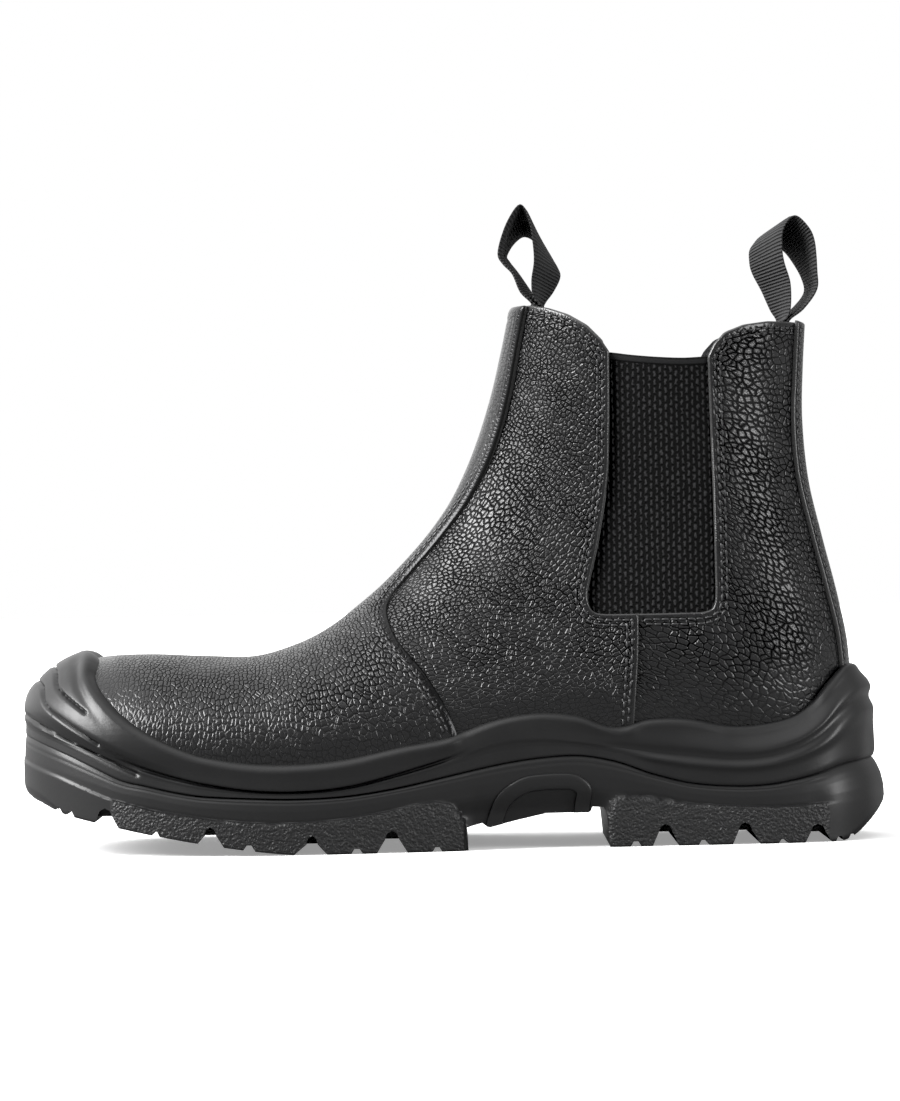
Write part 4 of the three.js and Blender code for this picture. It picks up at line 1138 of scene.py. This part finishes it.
# Sole: two moulded parts that meet at the parting line. Its plan gives the reach to each side of the long
# axis, and its side gives heights as shares of the bed's, how far in the lip stands, how far the bands
# lean in, and how much of the bumper's ribs is there.
sole_plan = np.array([
    # along, lateral, medial
    [-0.487, 0.15, 0.28],
    [-0.451, 0.303, 0.404],
    [-0.392, 0.408, 0.474],
    [-0.32, 0.469, 0.498],
    [-0.235, 0.5, 0.492],
    [-0.15, 0.5, 0.465],
    [-0.072, 0.476, 0.43],
    [0.01, 0.441, 0.39],
    [0.092, 0.41, 0.364],
    [0.183, 0.382, 0.349],
    [0.281, 0.368, 0.353],
    [0.379, 0.351, 0.346],
    [0.4347, 0.307, 0.307],
    [0.4706, 0.219, 0.219],
    [0.49, 0.114, 0.114],
])
sole_side = np.array([
    # along, feather, upper groove, parting, lug top, lip inset, lean, ribs
    [-0.5, 2.2, 1.5, 1.33, 0.87, 0.7, 0.45, 1],
    [-0.49, 2.24, 1.5, 1.33, 0.86, 0.68, 0.45, 1],
    [-0.467, 2.22, 1.48, 1.31, 0.84, 0.62, 0.5, 1],
    [-0.438, 2.17, 1.44, 1.26, 0.82, 0.48, 0.6, 0.9],
    [-0.408, 2.08, 1.38, 1.17, 0.78, 0.33, 0.7, 0.4],
    [-0.376, 1.94, 1.33, 1.06, 0.74, 0.21, 0.8, 0],
    [-0.35, 1.82, 1.27, 1.03, 0.71, 0.16, 0.9, 0],
    [-0.32, 1.7, 1.2, 0.98, 0.66, 0.15, 1, 0],
    [-0.288, 1.6, 1.13, 0.94, 0.61, 0.15, 1, 0],
    [-0.229, 1.52, 1.04, 0.93, 0.53, 0.15, 1, 0],
    [-0.173, 1.5, 1.01, 0.91, 0.515, 0.15, 1, 0],
    [-0.118, 1.5, 1.03, 0.9, 0.55, 0.15, 1, 0],
    [-0.061, 1.53, 1.12, 0.93, 0.62, 0.15, 1, 0],
    [-0.003, 1.51, 1.21, 0.985, 0.62, 0.15, 1, 0],
    [0.052, 1.57, 1.3, 1.02, 0.62, 0.15, 1, 0],
    [0.098, 1.54, 1.25, 1.02, 0.62, 0.15, 1, 0],
    [0.144, 1.43, 1.14, 0.985, 0.6, 0.15, 1, 0],
    [0.186, 1.27, 1.04, 0.88, 0.54, 0.15, 1, 0],
    [0.225, 1.31, 0.97, 0.735, 0.52, 0.15, 1, 0],
    [0.27, 1.295, 0.92, 0.63, 0.43, 0.15, 1, 0],
    [0.32, 1.195, 0.88, 0.59, 0.385, 0.15, 1, 0],
    [0.36, 1.195, 0.9, 0.6, 0.37, 0.15, 1.1, 0],
    [0.395, 1.26, 0.99, 0.65, 0.37, 0.17, 1.2, 0],
    [0.425, 1.42, 1.13, 0.71, 0.38, 0.19, 1.4, 0],
    [0.455, 1.64, 1.33, 0.78, 0.4, 0.23, 1.6, 0],
    [0.48, 1.78, 1.44, 0.81, 0.42, 0.27, 1.7, 0],
    [0.5, 1.8, 1.46, 0.82, 0.42, 0.28, 1.7, 0],
])


def side_at(x):
    index = np.interp(x / boot_length, sole_side[:, 0], np.arange(len(sole_side)))
    return catmull(sole_side, index)[:, 1:].T


def smoothstep(value, low, high):
    t = np.clip((value - low) / (high - low), 0, 1)
    return t * t * (3 - 2 * t)


# The plan's closed curve through its points, with even stations round it
plan_points = np.vstack([
    [[0.5 * boot_length, 0]],
    np.stack([sole_plan[::-1, 0] * boot_length, -sole_plan[::-1, 1] * ball_width], 1),
    [[tip_x, 0.07 * ball_width]],
    np.stack([sole_plan[:, 0] * boot_length, sole_plan[:, 2] * ball_width], 1),
])
curve = []
for k in range(len(plan_points)):
    p0, p1, p2, p3 = (plan_points[(k + j) % len(plan_points)] for j in (-1, 0, 1, 2))
    d0, d1, d2 = (math.sqrt(np.linalg.norm(b - a)) for a, b in ((p0, p1), (p1, p2), (p2, p3)))
    leave = d1 * ((p1 - p0) / d0 - (p2 - p0) / (d0 + d1) + (p2 - p1) / d1)
    arrive = d1 * ((p2 - p1) / d1 - (p3 - p1) / (d1 + d2) + (p3 - p2) / d2)
    t = np.linspace(0, 1, 80, endpoint=False)[:, None]
    curve.append(
        (2 * t**3 - 3 * t**2 + 1) * p1 + (t**3 - 2 * t**2 + t) * leave
        + (3 * t**2 - 2 * t**3) * p2 + (t**3 - t**2) * arrive)
fine_plan = closed(even_loop(np.vstack(curve), 0.2 * mm)[::-1])
closeness = 1 + 1.1 * smoothstep(-fine_plan[:, 0], 96 * mm, 108 * mm)
run = np.concatenate([[0], np.cumsum(np.linalg.norm(np.diff(fine_plan, axis=0), axis=1) * closeness[1:])])
even = np.linspace(0, run[-1], int(run[-1] / (1.3 * mm)) + 1)[:-1]
plan = np.stack([np.interp(even, run, fine_plan[:, k]) for k in (0, 1)], 1) + [0, middle_y]
stations = len(plan)
heading = np.roll(plan, -1, axis=0) - np.roll(plan, 1, axis=0)
heading /= np.linalg.norm(heading, axis=1)[:, None]
outward = np.stack([-heading[:, 1], heading[:, 0], np.zeros(stations)], 1)
foot = np.column_stack([plan, np.zeros(stations)])
foot_x = foot[:, 0]
feather, upper_groove, parting, lug_top, lip_inset, lean, ribs = side_at(foot_x)
base = bed(foot_x)
feather, upper_groove, parting, lug_top = (
    share * base for share in (feather, upper_groove, parting, lug_top))

# Tread line along the boot, without its grooves: it curls up at the toe and a little at the back
toe_spring = 18.5 * mm
heel_bevel = 9 * mm
flat_front = -0.17 * boot_length
flat_back = 0.44 * boot_length


def tread_line(x):
    toe = toe_spring * np.clip((flat_front - x) / (flat_front - tip_x), 0, 1.2) ** 1.4
    return toe + heel_bevel * np.clip((x - flat_back) / (0.5 * boot_length - flat_back), 0, 1.2) ** 2


# Where the lugs stand proud of the smooth wall, in the side view, and the insert in the waist
forefoot_lugs = mm * np.array([
    [-170, -20], [-170, 38], [-154.9, 34.6], [-151.8, 32.2], [-137.6, 27.4], [-120.5, 20.4], [-104, 16],
    [-83.1, 12.6], [-61.9, 10.8], [-40.7, 11.8], [-23.5, 14.3],
    [-11.5, 16.9], [-5.5, 17.4], [-1, 16.2], [2.3, 12.4], [4, 8.9], [4.5, -20],
])
heel_lugs = mm * np.array([
    [53.7, -20], [53.2, 10.6], [53.9, 14.8], [56.5, 17.6], [64.6, 17.6], [72, 16], [85.4, 14.2],
    [106.3, 12.9],
    [120.2, 12.9], [128, 13.6], [170, 13.6], [170, -20],
])
insert_line = drawn(mm * np.array([
    [13, 4], [14.1, 9.7], [17.4, 17.1], [23.3, 21.5], [29.2, 22.9], [40.1, 23], [44, 21.2], [45.1, 18.7],
    [44.3, 13.3], [43.8, 6],
]))


def in_lugs(p):
    depth = np.full(len(p), -9.0)
    for lugs in (forefoot_lugs, heel_lugs):
        reach = distance_to([closed(lugs)], p)
        depth = np.maximum(depth, np.where(inside(lugs, p), reach, -reach))
    return depth


def insert_relief(p):
    reach = distance_to([insert_line], p)
    within = inside(insert_line, p)
    return -np.where(within, 0.9 * mm * smoothstep(reach, 0, 2.2 * mm), 0)


# Ribs of the toe bumper: slots that run back from its front and end on its side
rib_lines = [drawn(mm * np.array(points)) for points in (
    [[-150, 68], [-140.6, 64.4], [-138.6, 59], [-136, 56.2], [-132.7, 53.7], [-127.6, 50]],
    [[-152, 61], [-144.7, 58.9], [-143.2, 54], [-141, 51], [-133.6, 45.6], [-122.7, 38.6]],
    [[-157, 49], [-150.5, 48.2], [-146.1, 45.9], [-133.7, 39.6], [-121, 33.6], [-110, 28.6]],
)]


# The groove under the roll is deep in the heel and the forefoot, and fades out in the waist. The face
# above it stands in from the plan by an amount of its own.
def groove_depth(x):
    waist = smoothstep(x, -6 * mm, 8 * mm) * (1 - smoothstep(x, 50 * mm, 64 * mm))
    heel_part = smoothstep(x, 50 * mm, 64 * mm)
    return mm * (1.4 - 0.5 * heel_part) * (1 - waist) * (1 - 0.9 * smoothstep(-x, 100 * mm, 125 * mm))


def face_inset(wall_lean):
    return 1.5 * mm * wall_lean**1.8


# Wall below the roll: how far it stands in from the plan
def wall_inset(p):
    x, z = p[:, 0], p[:, 2]
    _, groove, part, top, _, wall_lean, _ = side_at(x)
    height = bed(x)
    groove, part, top = groove * height, part * height, top * height
    lower = (z - top) / (part - top)
    upper = (z - part) / (groove - part)
    heel = smoothstep(x, 58 * mm, 72 * mm)
    ridge = heel * (1 - smoothstep(x, 132 * mm, 150 * mm)) * np.exp(-(((upper - 0.68) / 0.13) ** 2))
    high_band = np.interp(upper, [0, 0.05, 0.14, 0.6, 0.9], [2.5, 2, 1.8, 2, 1.8]) * mm * wall_lean
    high_band = high_band - 0.9 * mm * ridge
    meets_roll = smoothstep(upper, 0.78, 1)
    high_band = high_band + (face_inset(wall_lean) + groove_depth(x) - high_band) * meets_roll
    low_band = np.interp(
        lower, [-0.4, 0, 0.15, 0.5, 0.78, 0.82, 0.86, 0.95, 1], [2.6, 1, 0.8, 0.9, 1.3, 1.8, 1.5, 2.1, 2.5])
    rounded_end = np.interp(lower, [0, 0.3, 0.6, 0.8, 0.95, 1], [0, 0.15, 0.7, 1.4, 2.1, 2.5])
    at_end = smoothstep(x, 124 * mm, 134 * mm)
    low_band = mm * (low_band + (rounded_end - low_band) * at_end) * wall_lean
    waist = smoothstep(x, 3 * mm, 8 * mm) * (1 - smoothstep(x, 46 * mm, 54 * mm))
    low_band = low_band + 1.6 * mm * waist * (1 - smoothstep(z, 6 * mm, 24 * mm))
    side = p[:, [0, 2]]
    softness = mm * (0.4 + 2.2 * smoothstep(-np.abs(x - 54 * mm), -5 * mm, -3 * mm))
    proud = smoothstep(in_lugs(side) / softness, -1, 1)
    low_band = low_band * (1 - proud) + 0.3 * mm * proud * (1 - smoothstep(z, 0, 12 * mm))
    inset = np.where(z > part, high_band, low_band - insert_relief(side))
    toe_ribs = np.exp(-((distance_to(rib_lines[2:], side) / (0.9 * mm)) ** 2))
    return inset + 0.9 * mm * toe_ribs * (z > part)


def wall_row(z):
    p = foot.copy()
    p[:, 2] = z
    return p - outward * wall_inset(p)[:, None]


# A closed piece from rings of points, one above the other, with a cap of its own at each end
def ringed_piece(name, rings, low_cap, high_cap, materials, spacing=4 * mm):
    count = len(rings[0])
    faces = [
        (i * count + k, i * count + (k + 1) % count, (i + 1) * count + (k + 1) % count, (i + 1) * count + k)
        for i in range(len(rings) - 1)
        for k in range(count)
    ]
    points = [np.vstack(rings)]
    total = len(points[0])
    for ring, cap in ((rings[0], low_cap), (rings[-1], high_cap)):
        flat, triangles = cut_sheet(lambda p, lift=0: p, ring[:, :2], [], spacing)
        body = np.column_stack([flat, cap(flat[:, 0])])
        rim = distance_to([closed(ring[:, :2])], flat) < 1e-7
        nearest = np.array([np.argmin(((ring[:, :2] - p) ** 2).sum(1)) for p in flat[rim]])
        body[rim] = ring[nearest]
        points.append(body)
        faces += (triangles + total).tolist()
        total += len(body)
    piece = new_piece(name, np.vstack(points), faces, materials)
    face_outward(piece)
    return piece


# Cushioning unit: soft moulded foam with the parting line's lip, a band, the roll round the leather,
# the heel cup and the toe bumper. Its roll stands off the last along rays from inside the boot.
# Moulded skin: a faint orange peel that the mould leaves
peel, given, result = new_effect(
    "moulded skin", [("Place", "Vector", None), ("Size", "Float", 0.001)], ["Height", "Patches"])
per_size = calc(peel, "DIVIDE", 1.0, given["Size"])
peel.links.new(noise(peel, given["Place"], per_size, 2), result["Height"])
peel.links.new(noise(peel, given["Place"], calc(peel, "MULTIPLY", per_size, 0.04), 2), result["Patches"])
moulded, tree, shader = new_material("moulded_sole", 0.42)
shader["Base Color"].default_value = (0.007, 0.007, 0.0073, 1)
skin = use_effect(tree, peel, {"Place": object_place(tree), "Size": 0.9 * mm})
tree.links.new(rise(tree, skin["Patches"], 0.3, 0.7, 0.38, 0.48), shader["Roughness"])
bump(tree, shader, skin["Height"], 0.03 * mm)
bumper_wall = 4.4 * mm
ray_depth = 0.333 * ball_width
ray_rise = 0.175 * ball_width
form_u, form_turn = np.linspace(0, last_end, 140), np.linspace(0, 2 * math.pi, 180, endpoint=False)
form_points = [lifted(np.full(180, u), form_turn) for u in form_u]
form_faces = [
    (i * 180 + k, i * 180 + (k + 1) % 180, (i + 1) * 180 + (k + 1) % 180, (i + 1) * 180 + k)
    for i in range(139)
    for k in range(180)
]
form_tree = BVHTree.FromPolygons(np.vstack(form_points).tolist(), form_faces)
eye = foot - outward * ray_depth
eye[:, 2] = base + ray_rise


def to_form(tilt):
    direction = outward * np.cos(tilt)[:, None]
    direction[:, 2] = np.sin(tilt)
    hits = [form_tree.ray_cast(Vector(a), Vector(b))[3] for a, b in zip(eye, direction)]
    return direction, np.array([ray_depth if hit is None else hit for hit in hits])


leather_lift = mm * np.interp(foot_x, mm * np.array([0, 4, 62, 66, 126, 134]), [2.7, 1.2, 1.2, 0, 0, 1.5])
groove_row = wall_row(upper_groove)
groove_out = ((groove_row - eye) * outward).sum(1)
groove_tilt = np.arctan2(groove_row[:, 2] - eye[:, 2], groove_out)
lip_tilt = np.arctan2(feather - eye[:, 2], ray_depth * (1 - lip_inset))
at_toe = 1 - smoothstep(foot_x, -122 * mm, -88 * mm)
shares = np.concatenate([np.linspace(0, 0.9, 56), 1 - 0.1 * (1 - np.linspace(0, 1, 14)[1:]) ** 1.5])
directions, radii = [], []
for share in shares:
    tilt = groove_tilt + (lip_tilt - groove_tilt) * share
    direction, reach = to_form(tilt)
    bumper = bumper_wall * np.interp(share, [0, 0.1, 0.27, 0.5, 0.8, 1], [1, 1.05, 1.15, 1.12, 1.06, 1.02])
    bumper = reach + 2.7 * mm + bumper
    wall = np.minimum((ray_depth - face_inset(lean)) / np.cos(tilt), bumper + bumper_wall)
    bumper = wall + (bumper - wall) * smoothstep(np.full(stations, share), 0, 0.4)
    lip = reach + leather_lift + 2.7 * mm
    face = wall + (lip - wall) * smoothstep(np.full(stations, share), 0.2, 0.9)
    directions.append(direction)
    radii.append(face + (bumper - face) * at_toe)
surface = np.array([eye + d * r[:, None] for d, r in zip(directions, radii)])
steps = np.linalg.norm(np.diff(surface, axis=0), axis=2)
to_lip = np.concatenate([np.cumsum(steps[::-1], axis=0)[::-1], np.zeros((1, stations))])
lip_round = mm * (2.4 + 1.2 * at_toe)
lip_height = radii[-1] - reach - leather_lift + 0.4 * mm
ridge_line = smoothstep(np.abs(foot[:, 1] - middle_y), 6 * mm, 22 * mm)
roll_rows = []
for share, direction, radius, gap_to_lip in zip(shares, directions, radii, to_lip):
    side = (eye + direction * radius[:, None])[:, [0, 2]]
    rib_strength = 0.35 + 0.65 * smoothstep(side[:, 0], -150 * mm, -142 * mm)
    rib_strength = rib_strength * smoothstep(gap_to_lip, 5 * mm, 8 * mm)
    dips = 1.5 * mm * rib_strength * np.exp(-((distance_to(rib_lines, side) / (0.62 * mm)) ** 2))
    dips += 0.9 * mm * ribs * ridge_line * np.exp(-(((gap_to_lip - 7.5 * mm) / (2.2 * mm)) ** 2))
    groove_width = mm * (1.1 + 1.4 * smoothstep(foot_x, 50 * mm, 64 * mm))
    dips += groove_depth(foot_x) * np.exp(-(((to_lip[0] - gap_to_lip) / groove_width) ** 2))
    dips += lip_height * (1 - np.sqrt(1 - (1 - np.clip(gap_to_lip / lip_round, 0, 1)) ** 2))
    roll_rows.append(eye + direction * (radius - dips)[:, None])
inner_rows = []
for share in np.linspace(0.9, 0, 8):
    tilt = np.arctan2(3 * mm - ray_rise, ray_depth) * (1 - share) + lip_tilt * share
    direction, reach = to_form(tilt)
    inner_rows.append(eye + direction * (reach + leather_lift - 1.8 * mm)[:, None])
band_rows = [wall_row(parting + (upper_groove - parting) * share) for share in np.linspace(0.0, 1, 26)[:-1]]
first_row = foot - outward * (5 * mm * lean)[:, None]
first_row[:, 2] = parting
cushion = ringed_piece(
    "cushion_unit", [first_row, *band_rows, *roll_rows, *inner_rows],
    lambda x: side_at(x)[2] * bed(x), lambda x: bed(x) + 0.5 * mm, [moulded])
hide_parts("midsole")

# Tread unit: harder rubber with the lower wall, the lugs, the arch of the waist and the heel
tread, tree, shader = new_material("tread_rubber", 0.4)
skin = use_effect(tree, peel, {"Place": object_place(tree), "Size": 0.9 * mm})
rough_side = point_value(tree, "textured")
crumb = add_node(
    tree, "TexVoronoi", {"Vector": object_place(tree), "Scale": 1000.0, "Randomness": 1.0},
    feature="SMOOTH_F1").outputs["Distance"]
crumb = calc(tree, "ADD", crumb, calc(tree, "MULTIPLY", noise(tree, object_place(tree), 1500.0, 2), 0.8))
peel = calc(tree, "MULTIPLY", skin["Height"], 0.06)
height = calc(tree, "ADD", peel, calc(tree, "MULTIPLY", crumb, rough_side))
tone = blend_colors(tree, rough_side, (0.007, 0.007, 0.0073), (0.014, 0.014, 0.0145))
tree.links.new(tone, shader["Base Color"])
tree.links.new(rise(tree, rough_side, 0.0, 1.0, 0.42, 0.45), shader["Roughness"])
bump(tree, shader, height, 0.45 * mm)
edge_round = mm * (0.8 + 5 * smoothstep(np.abs(foot_x), 132 * mm, 150 * mm))
bottom = tread_line(foot_x)
rings = []
for turn in np.radians([0, 18, 36, 54, 72, 90]):
    p = wall_row(bottom + edge_round)
    p -= outward * (edge_round * (1 - math.sin(turn)))[:, None]
    p[:, 2] = bottom + edge_round * (1 - math.cos(turn))
    rings.append(p)
lug_start = bottom + edge_round
rings += [wall_row(lug_start + (lug_top - lug_start) * share) for share in np.linspace(0, 1, 18)[1:-1]]
rings += [wall_row(lug_top + (parting - lug_top) * share) for share in np.linspace(0, 1, 26)]
last_row = foot - outward * (5 * mm * lean)[:, None]
last_row[:, 2] = parting
rings.append(last_row)
tread_unit = ringed_piece("tread_unit", rings, tread_line, lambda x: side_at(x)[2] * bed(x), [tread])


# A prism across the boot from a side-view outline, cut out of the tread
def carve(outline, from_y=-80 * mm, to_y=80 * mm, piece=None):
    piece = piece or tread_unit
    count = len(outline)
    points = [(x, y, z) for y in (from_y, to_y) for x, z in outline]
    faces = [tuple(range(count)), tuple(range(2 * count - 1, count - 1, -1))]
    faces += [(k, count + k, count + (k + 1) % count, (k + 1) % count) for k in range(count)]
    mesh = bpy.data.meshes.new("carving")
    mesh.from_pydata(points, [], faces)
    cutter = bpy.data.objects.new("carving", mesh)
    bpy.context.collection.objects.link(cutter)
    face_outward(cutter)
    bpy.ops.object.select_all(action="DESELECT")
    piece.select_set(True)
    bpy.context.view_layer.objects.active = piece
    cut = piece.modifiers.new("cut", "BOOLEAN")
    cut.operation = "DIFFERENCE"
    cut.solver = "MANIFOLD"
    cut.object = cutter
    bpy.ops.object.modifier_apply(modifier=cut.name)
    bpy.data.objects.remove(cutter)


below = -20
arch_outline = mm * np.array([
    [3.5, below], [4.8, -1], [4.2, 7.9], [9.6, 9.3], [11.3, 8], [12.4, 7.8], [22, 10], [32, 12.1],
    [46.6, 12.1],
    [47.4, 12.6], [47.9, 14], [51.9, 13.8], [52.8, 12], [53.9, 1], [54.8, below],
])
carve(arch_outline)
grooves = mm * np.array([
    # front foot, front top, rear top, rear foot, depth
    [-124.6, -123.4, -118, -115.8, 3],
    [-88.4, -86, -81.8, -79.2, 3.4],
    [-55.2, -51, -47, -43.8, 3.6],
    [-26.8, -24, -19, -16.2, 4.6],
    [68.6, 70.6, 75.6, 77.8, 4.6],
    [96.4, 98.4, 103.2, 106.2, 4.6],
    [121.8, 123.6, 129, 131.4, 3.4],
])
for front_foot, front_top, rear_top, rear_foot, depth in grooves:
    ground = tread_line(np.array([front_foot, rear_foot]))
    top = tread_line(np.array([(front_foot + rear_foot) / 2]))[0] + depth
    carve([
        (front_foot - 0.4 * mm, -0.02), (front_foot, ground[0]), (front_top, top), (rear_top, top),
        (rear_foot, ground[1]), (rear_foot + 0.4 * mm, -0.02),
    ])
    middle = (front_top + rear_top) / 2
    half = (rear_top - front_top) / 2
    scallop = [(middle - half, -0.02), (middle - half, top - 0.5 * mm)]
    scallop += [
        (middle - half * math.cos(turn), top - 0.5 * mm + 3.6 * mm * math.sin(turn))
        for turn in np.radians([20, 50, 90, 130, 160])
    ]
    scallop += [(middle + half, top - 0.5 * mm), (middle + half, -0.02)]
    near_wall = plan[plan[:, 1] < 0][np.argmin(np.abs(plan[plan[:, 1] < 0][:, 0] - middle))][1]
    far_wall = plan[plan[:, 1] > 0][np.argmin(np.abs(plan[plan[:, 1] > 0][:, 0] - middle))][1]
    carve(scallop, -80 * mm, near_wall + 7 * mm)
    carve(scallop, far_wall - 7 * mm, 80 * mm)
for middle, width, depth in mm * np.array([
    [-103, 3, 1.6], [-70.7, 4.4, 2], [-33.6, 4.4, 1.8], [-6, 3.6, 1.6], [62.8, 4, 1.8], [86.4, 4, 1.8],
    [114.1, 3.6, 1.5], [-137.9, 3.4, 2], [-133.5, 3.4, 2], [-145, 3, 1.6], [134.2, 3.2, 1.8],
    [138.9, 3.2, 1.8],
    [143.6, 3, 1.8],
]):
    ground = tread_line(np.array([middle]))[0]
    carve([
        (middle - width / 2, -0.02),
        (middle - width / 2, ground - 0.2 * mm),
        (middle - width / 5, ground + depth),
        (middle + width / 5, ground + depth),
        (middle + width / 2, ground - 0.2 * mm),
        (middle + width / 2, -0.02),
    ])
bpy.ops.object.shade_smooth_by_angle(angle=math.radians(35))
tread_points = np.zeros(len(tread_unit.data.vertices) * 3)
tread_unit.data.vertices.foreach_get("co", tread_points)
tread_points = tread_points.reshape(-1, 3)
textured = smoothstep(in_lugs(tread_points[:, [0, 2]]), -0.1 * mm, 0.3 * mm)
textured *= smoothstep(tread_points[:, 0], -119 * mm, -117 * mm)
textured *= 1 - smoothstep(tread_points[:, 0], 129 * mm, 131 * mm)
point_values(tread_unit, "textured", textured)
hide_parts("outsole")

# Arch band: a flat raised band round the insert in each side of the waist, moulded with the tread unit
arch_band_profile = mm * np.array([
    # across, out from the wall
    [-2.85, -2], [-2.8, 0.5], [-2.55, 0.95], [-2.1, 1.15], [-1, 1.2], [1, 1.2], [2.1, 1.15], [2.55, 0.95],
    [2.8, 0.5], [2.85, -2],
])
band_line = insert_line[insert_line[:, 1] > np.where(insert_line[:, 0] < 30 * mm, 5 * mm, 10 * mm)]
tangent = np.gradient(band_line, axis=0)
tangent /= np.linalg.norm(tangent, axis=1)[:, None]
band_across = np.stack([tangent[:, 1], -tangent[:, 0]], 1)
for side, name in ((-1, "arch_band_lateral"), (1, "arch_band_medial")):
    wall_plan = plan[(plan[:, 1] - middle_y) * side > 0]
    wall_plan = wall_plan[np.argsort(wall_plan[:, 0])]
    points = []
    for across, out in arch_band_profile:
        place = band_line + band_across * across
        y = np.interp(place[:, 0], wall_plan[:, 0], wall_plan[:, 1])
        inset = wall_inset(np.column_stack([place[:, 0], y, place[:, 1]])) + insert_relief(place)
        points.append(np.column_stack([place[:, 0], y - side * (inset - out), place[:, 1]]))
    count = len(points)
    points = np.stack(points, 1)
    faces = [
        (i * count + k, i * count + (k + 1) % count, (i + 1) * count + (k + 1) % count, (i + 1) * count + k)
        for i in range(len(points) - 1)
        for k in range(count)
    ]
    faces += [tuple(range(count))[::-1], tuple(range((len(points) - 1) * count, len(points) * count))]
    band = new_piece(name, points.reshape(-1, 3), faces, [tread])
    face_outward(band)
    carve(arch_outline, piece=band)
    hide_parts("outsole")

# Floor, light and camera. The camera stands level and square to the boot's outer side, at the photo's roll.
photo_height = 1101
metres_per_pixel = 0.306 / 860
camera_distance = 1.6
camera_height = 103.7 * mm
camera_roll = math.radians(-1.05)
bpy.ops.object.select_all(action="DESELECT")
bpy.ops.object.camera_add()
camera = bpy.context.active_object
camera.matrix_world = (
    Matrix.Translation((0.2 * mm, -camera_distance, camera_height))
    @ Matrix.Rotation(math.pi / 2, 4, "X")
    @ Matrix.Rotation(camera_roll, 4, "Z")
)
camera.data.sensor_width = 36
camera.data.lens = 36 * camera_distance / (photo_height * metres_per_pixel)
camera.data.clip_end = 20
bpy.context.scene.camera = camera

bpy.ops.mesh.primitive_plane_add(size=12)
floor = bpy.context.active_object
floor.name = "floor"
pale_floor, tree, shader = new_material("pale_floor", 0.9)
to_camera = add_node(tree, "LightPath").outputs["Is Camera Ray"]
tree.links.new(blend_colors(tree, to_camera, (0.22, 0.22, 0.22), (0.95, 0.95, 0.95)), shader["Base Color"])
shader["Emission Color"].default_value = (1, 1, 1, 1)
tree.links.new(calc(tree, "MULTIPLY", to_camera, 0.3), shader["Emission Strength"])
shader["Specular IOR Level"].default_value = 0.1
floor.data.materials.append(pale_floor)
world = bpy.data.worlds.new("studio")
world.use_nodes = True
tree = world.node_tree
looking = add_node(tree, "TexCoord").outputs["Generated"]
height = add_node(tree, "SeparateXYZ", {0: looking}).outputs["Z"]
left_back = add_node(tree, "VectorMath", {0: looking, 1: (-0.8, 0.6, 0.0)}, operation="DOT_PRODUCT")
left_wall = rise(tree, left_back.outputs["Value"], 0.1, 0.85, 0.42, 1.4)
room = calc(tree, "ADD", left_wall, rise(tree, height, 0.75, 0.97, 0.0, 1.1))
seen = add_node(tree, "LightPath").outputs["Is Camera Ray"]
level = add_node(tree, "Mix", {0: seen, 2: room, 3: 1.0}, data_type="FLOAT").outputs[0]
tree.links.new(level, tree.nodes["Background"].inputs["Strength"])
tree.nodes["Background"].inputs["Color"].default_value = (1, 1, 1, 1)
bpy.context.scene.world = world
view = bpy.context.scene.view_settings
view.view_transform = "Standard"
view.use_curve_mapping = True
view.curve_mapping.black_level = (0.005, 0.005, 0.005)
view.curve_mapping.update()


def softbox(name, place, target, width, height, power):
    bpy.ops.object.light_add(type="AREA", location=place)
    light = bpy.context.active_object
    light.name = name
    light.data.shape = "RECTANGLE"
    light.data.size = width
    light.data.size_y = height
    light.data.energy = power
    light.rotation_euler = (Vector(target) - Vector(place)).to_track_quat("-Z", "Y").to_euler()


softbox("right_box", (1.35, -0.65, 0.5), (0.08, 0, 0.08), 0.6, 0.7, 12)
bpy.ops.object.light_add(type="SUN")
key_light = bpy.context.active_object
key_light.name = "key_light"
key_light.data.energy = 6.5
key_light.data.angle = math.radians(36)
key_light.rotation_euler = Vector((0.76, 0.2, -0.62)).to_track_quat("-Z", "Y").to_euler()
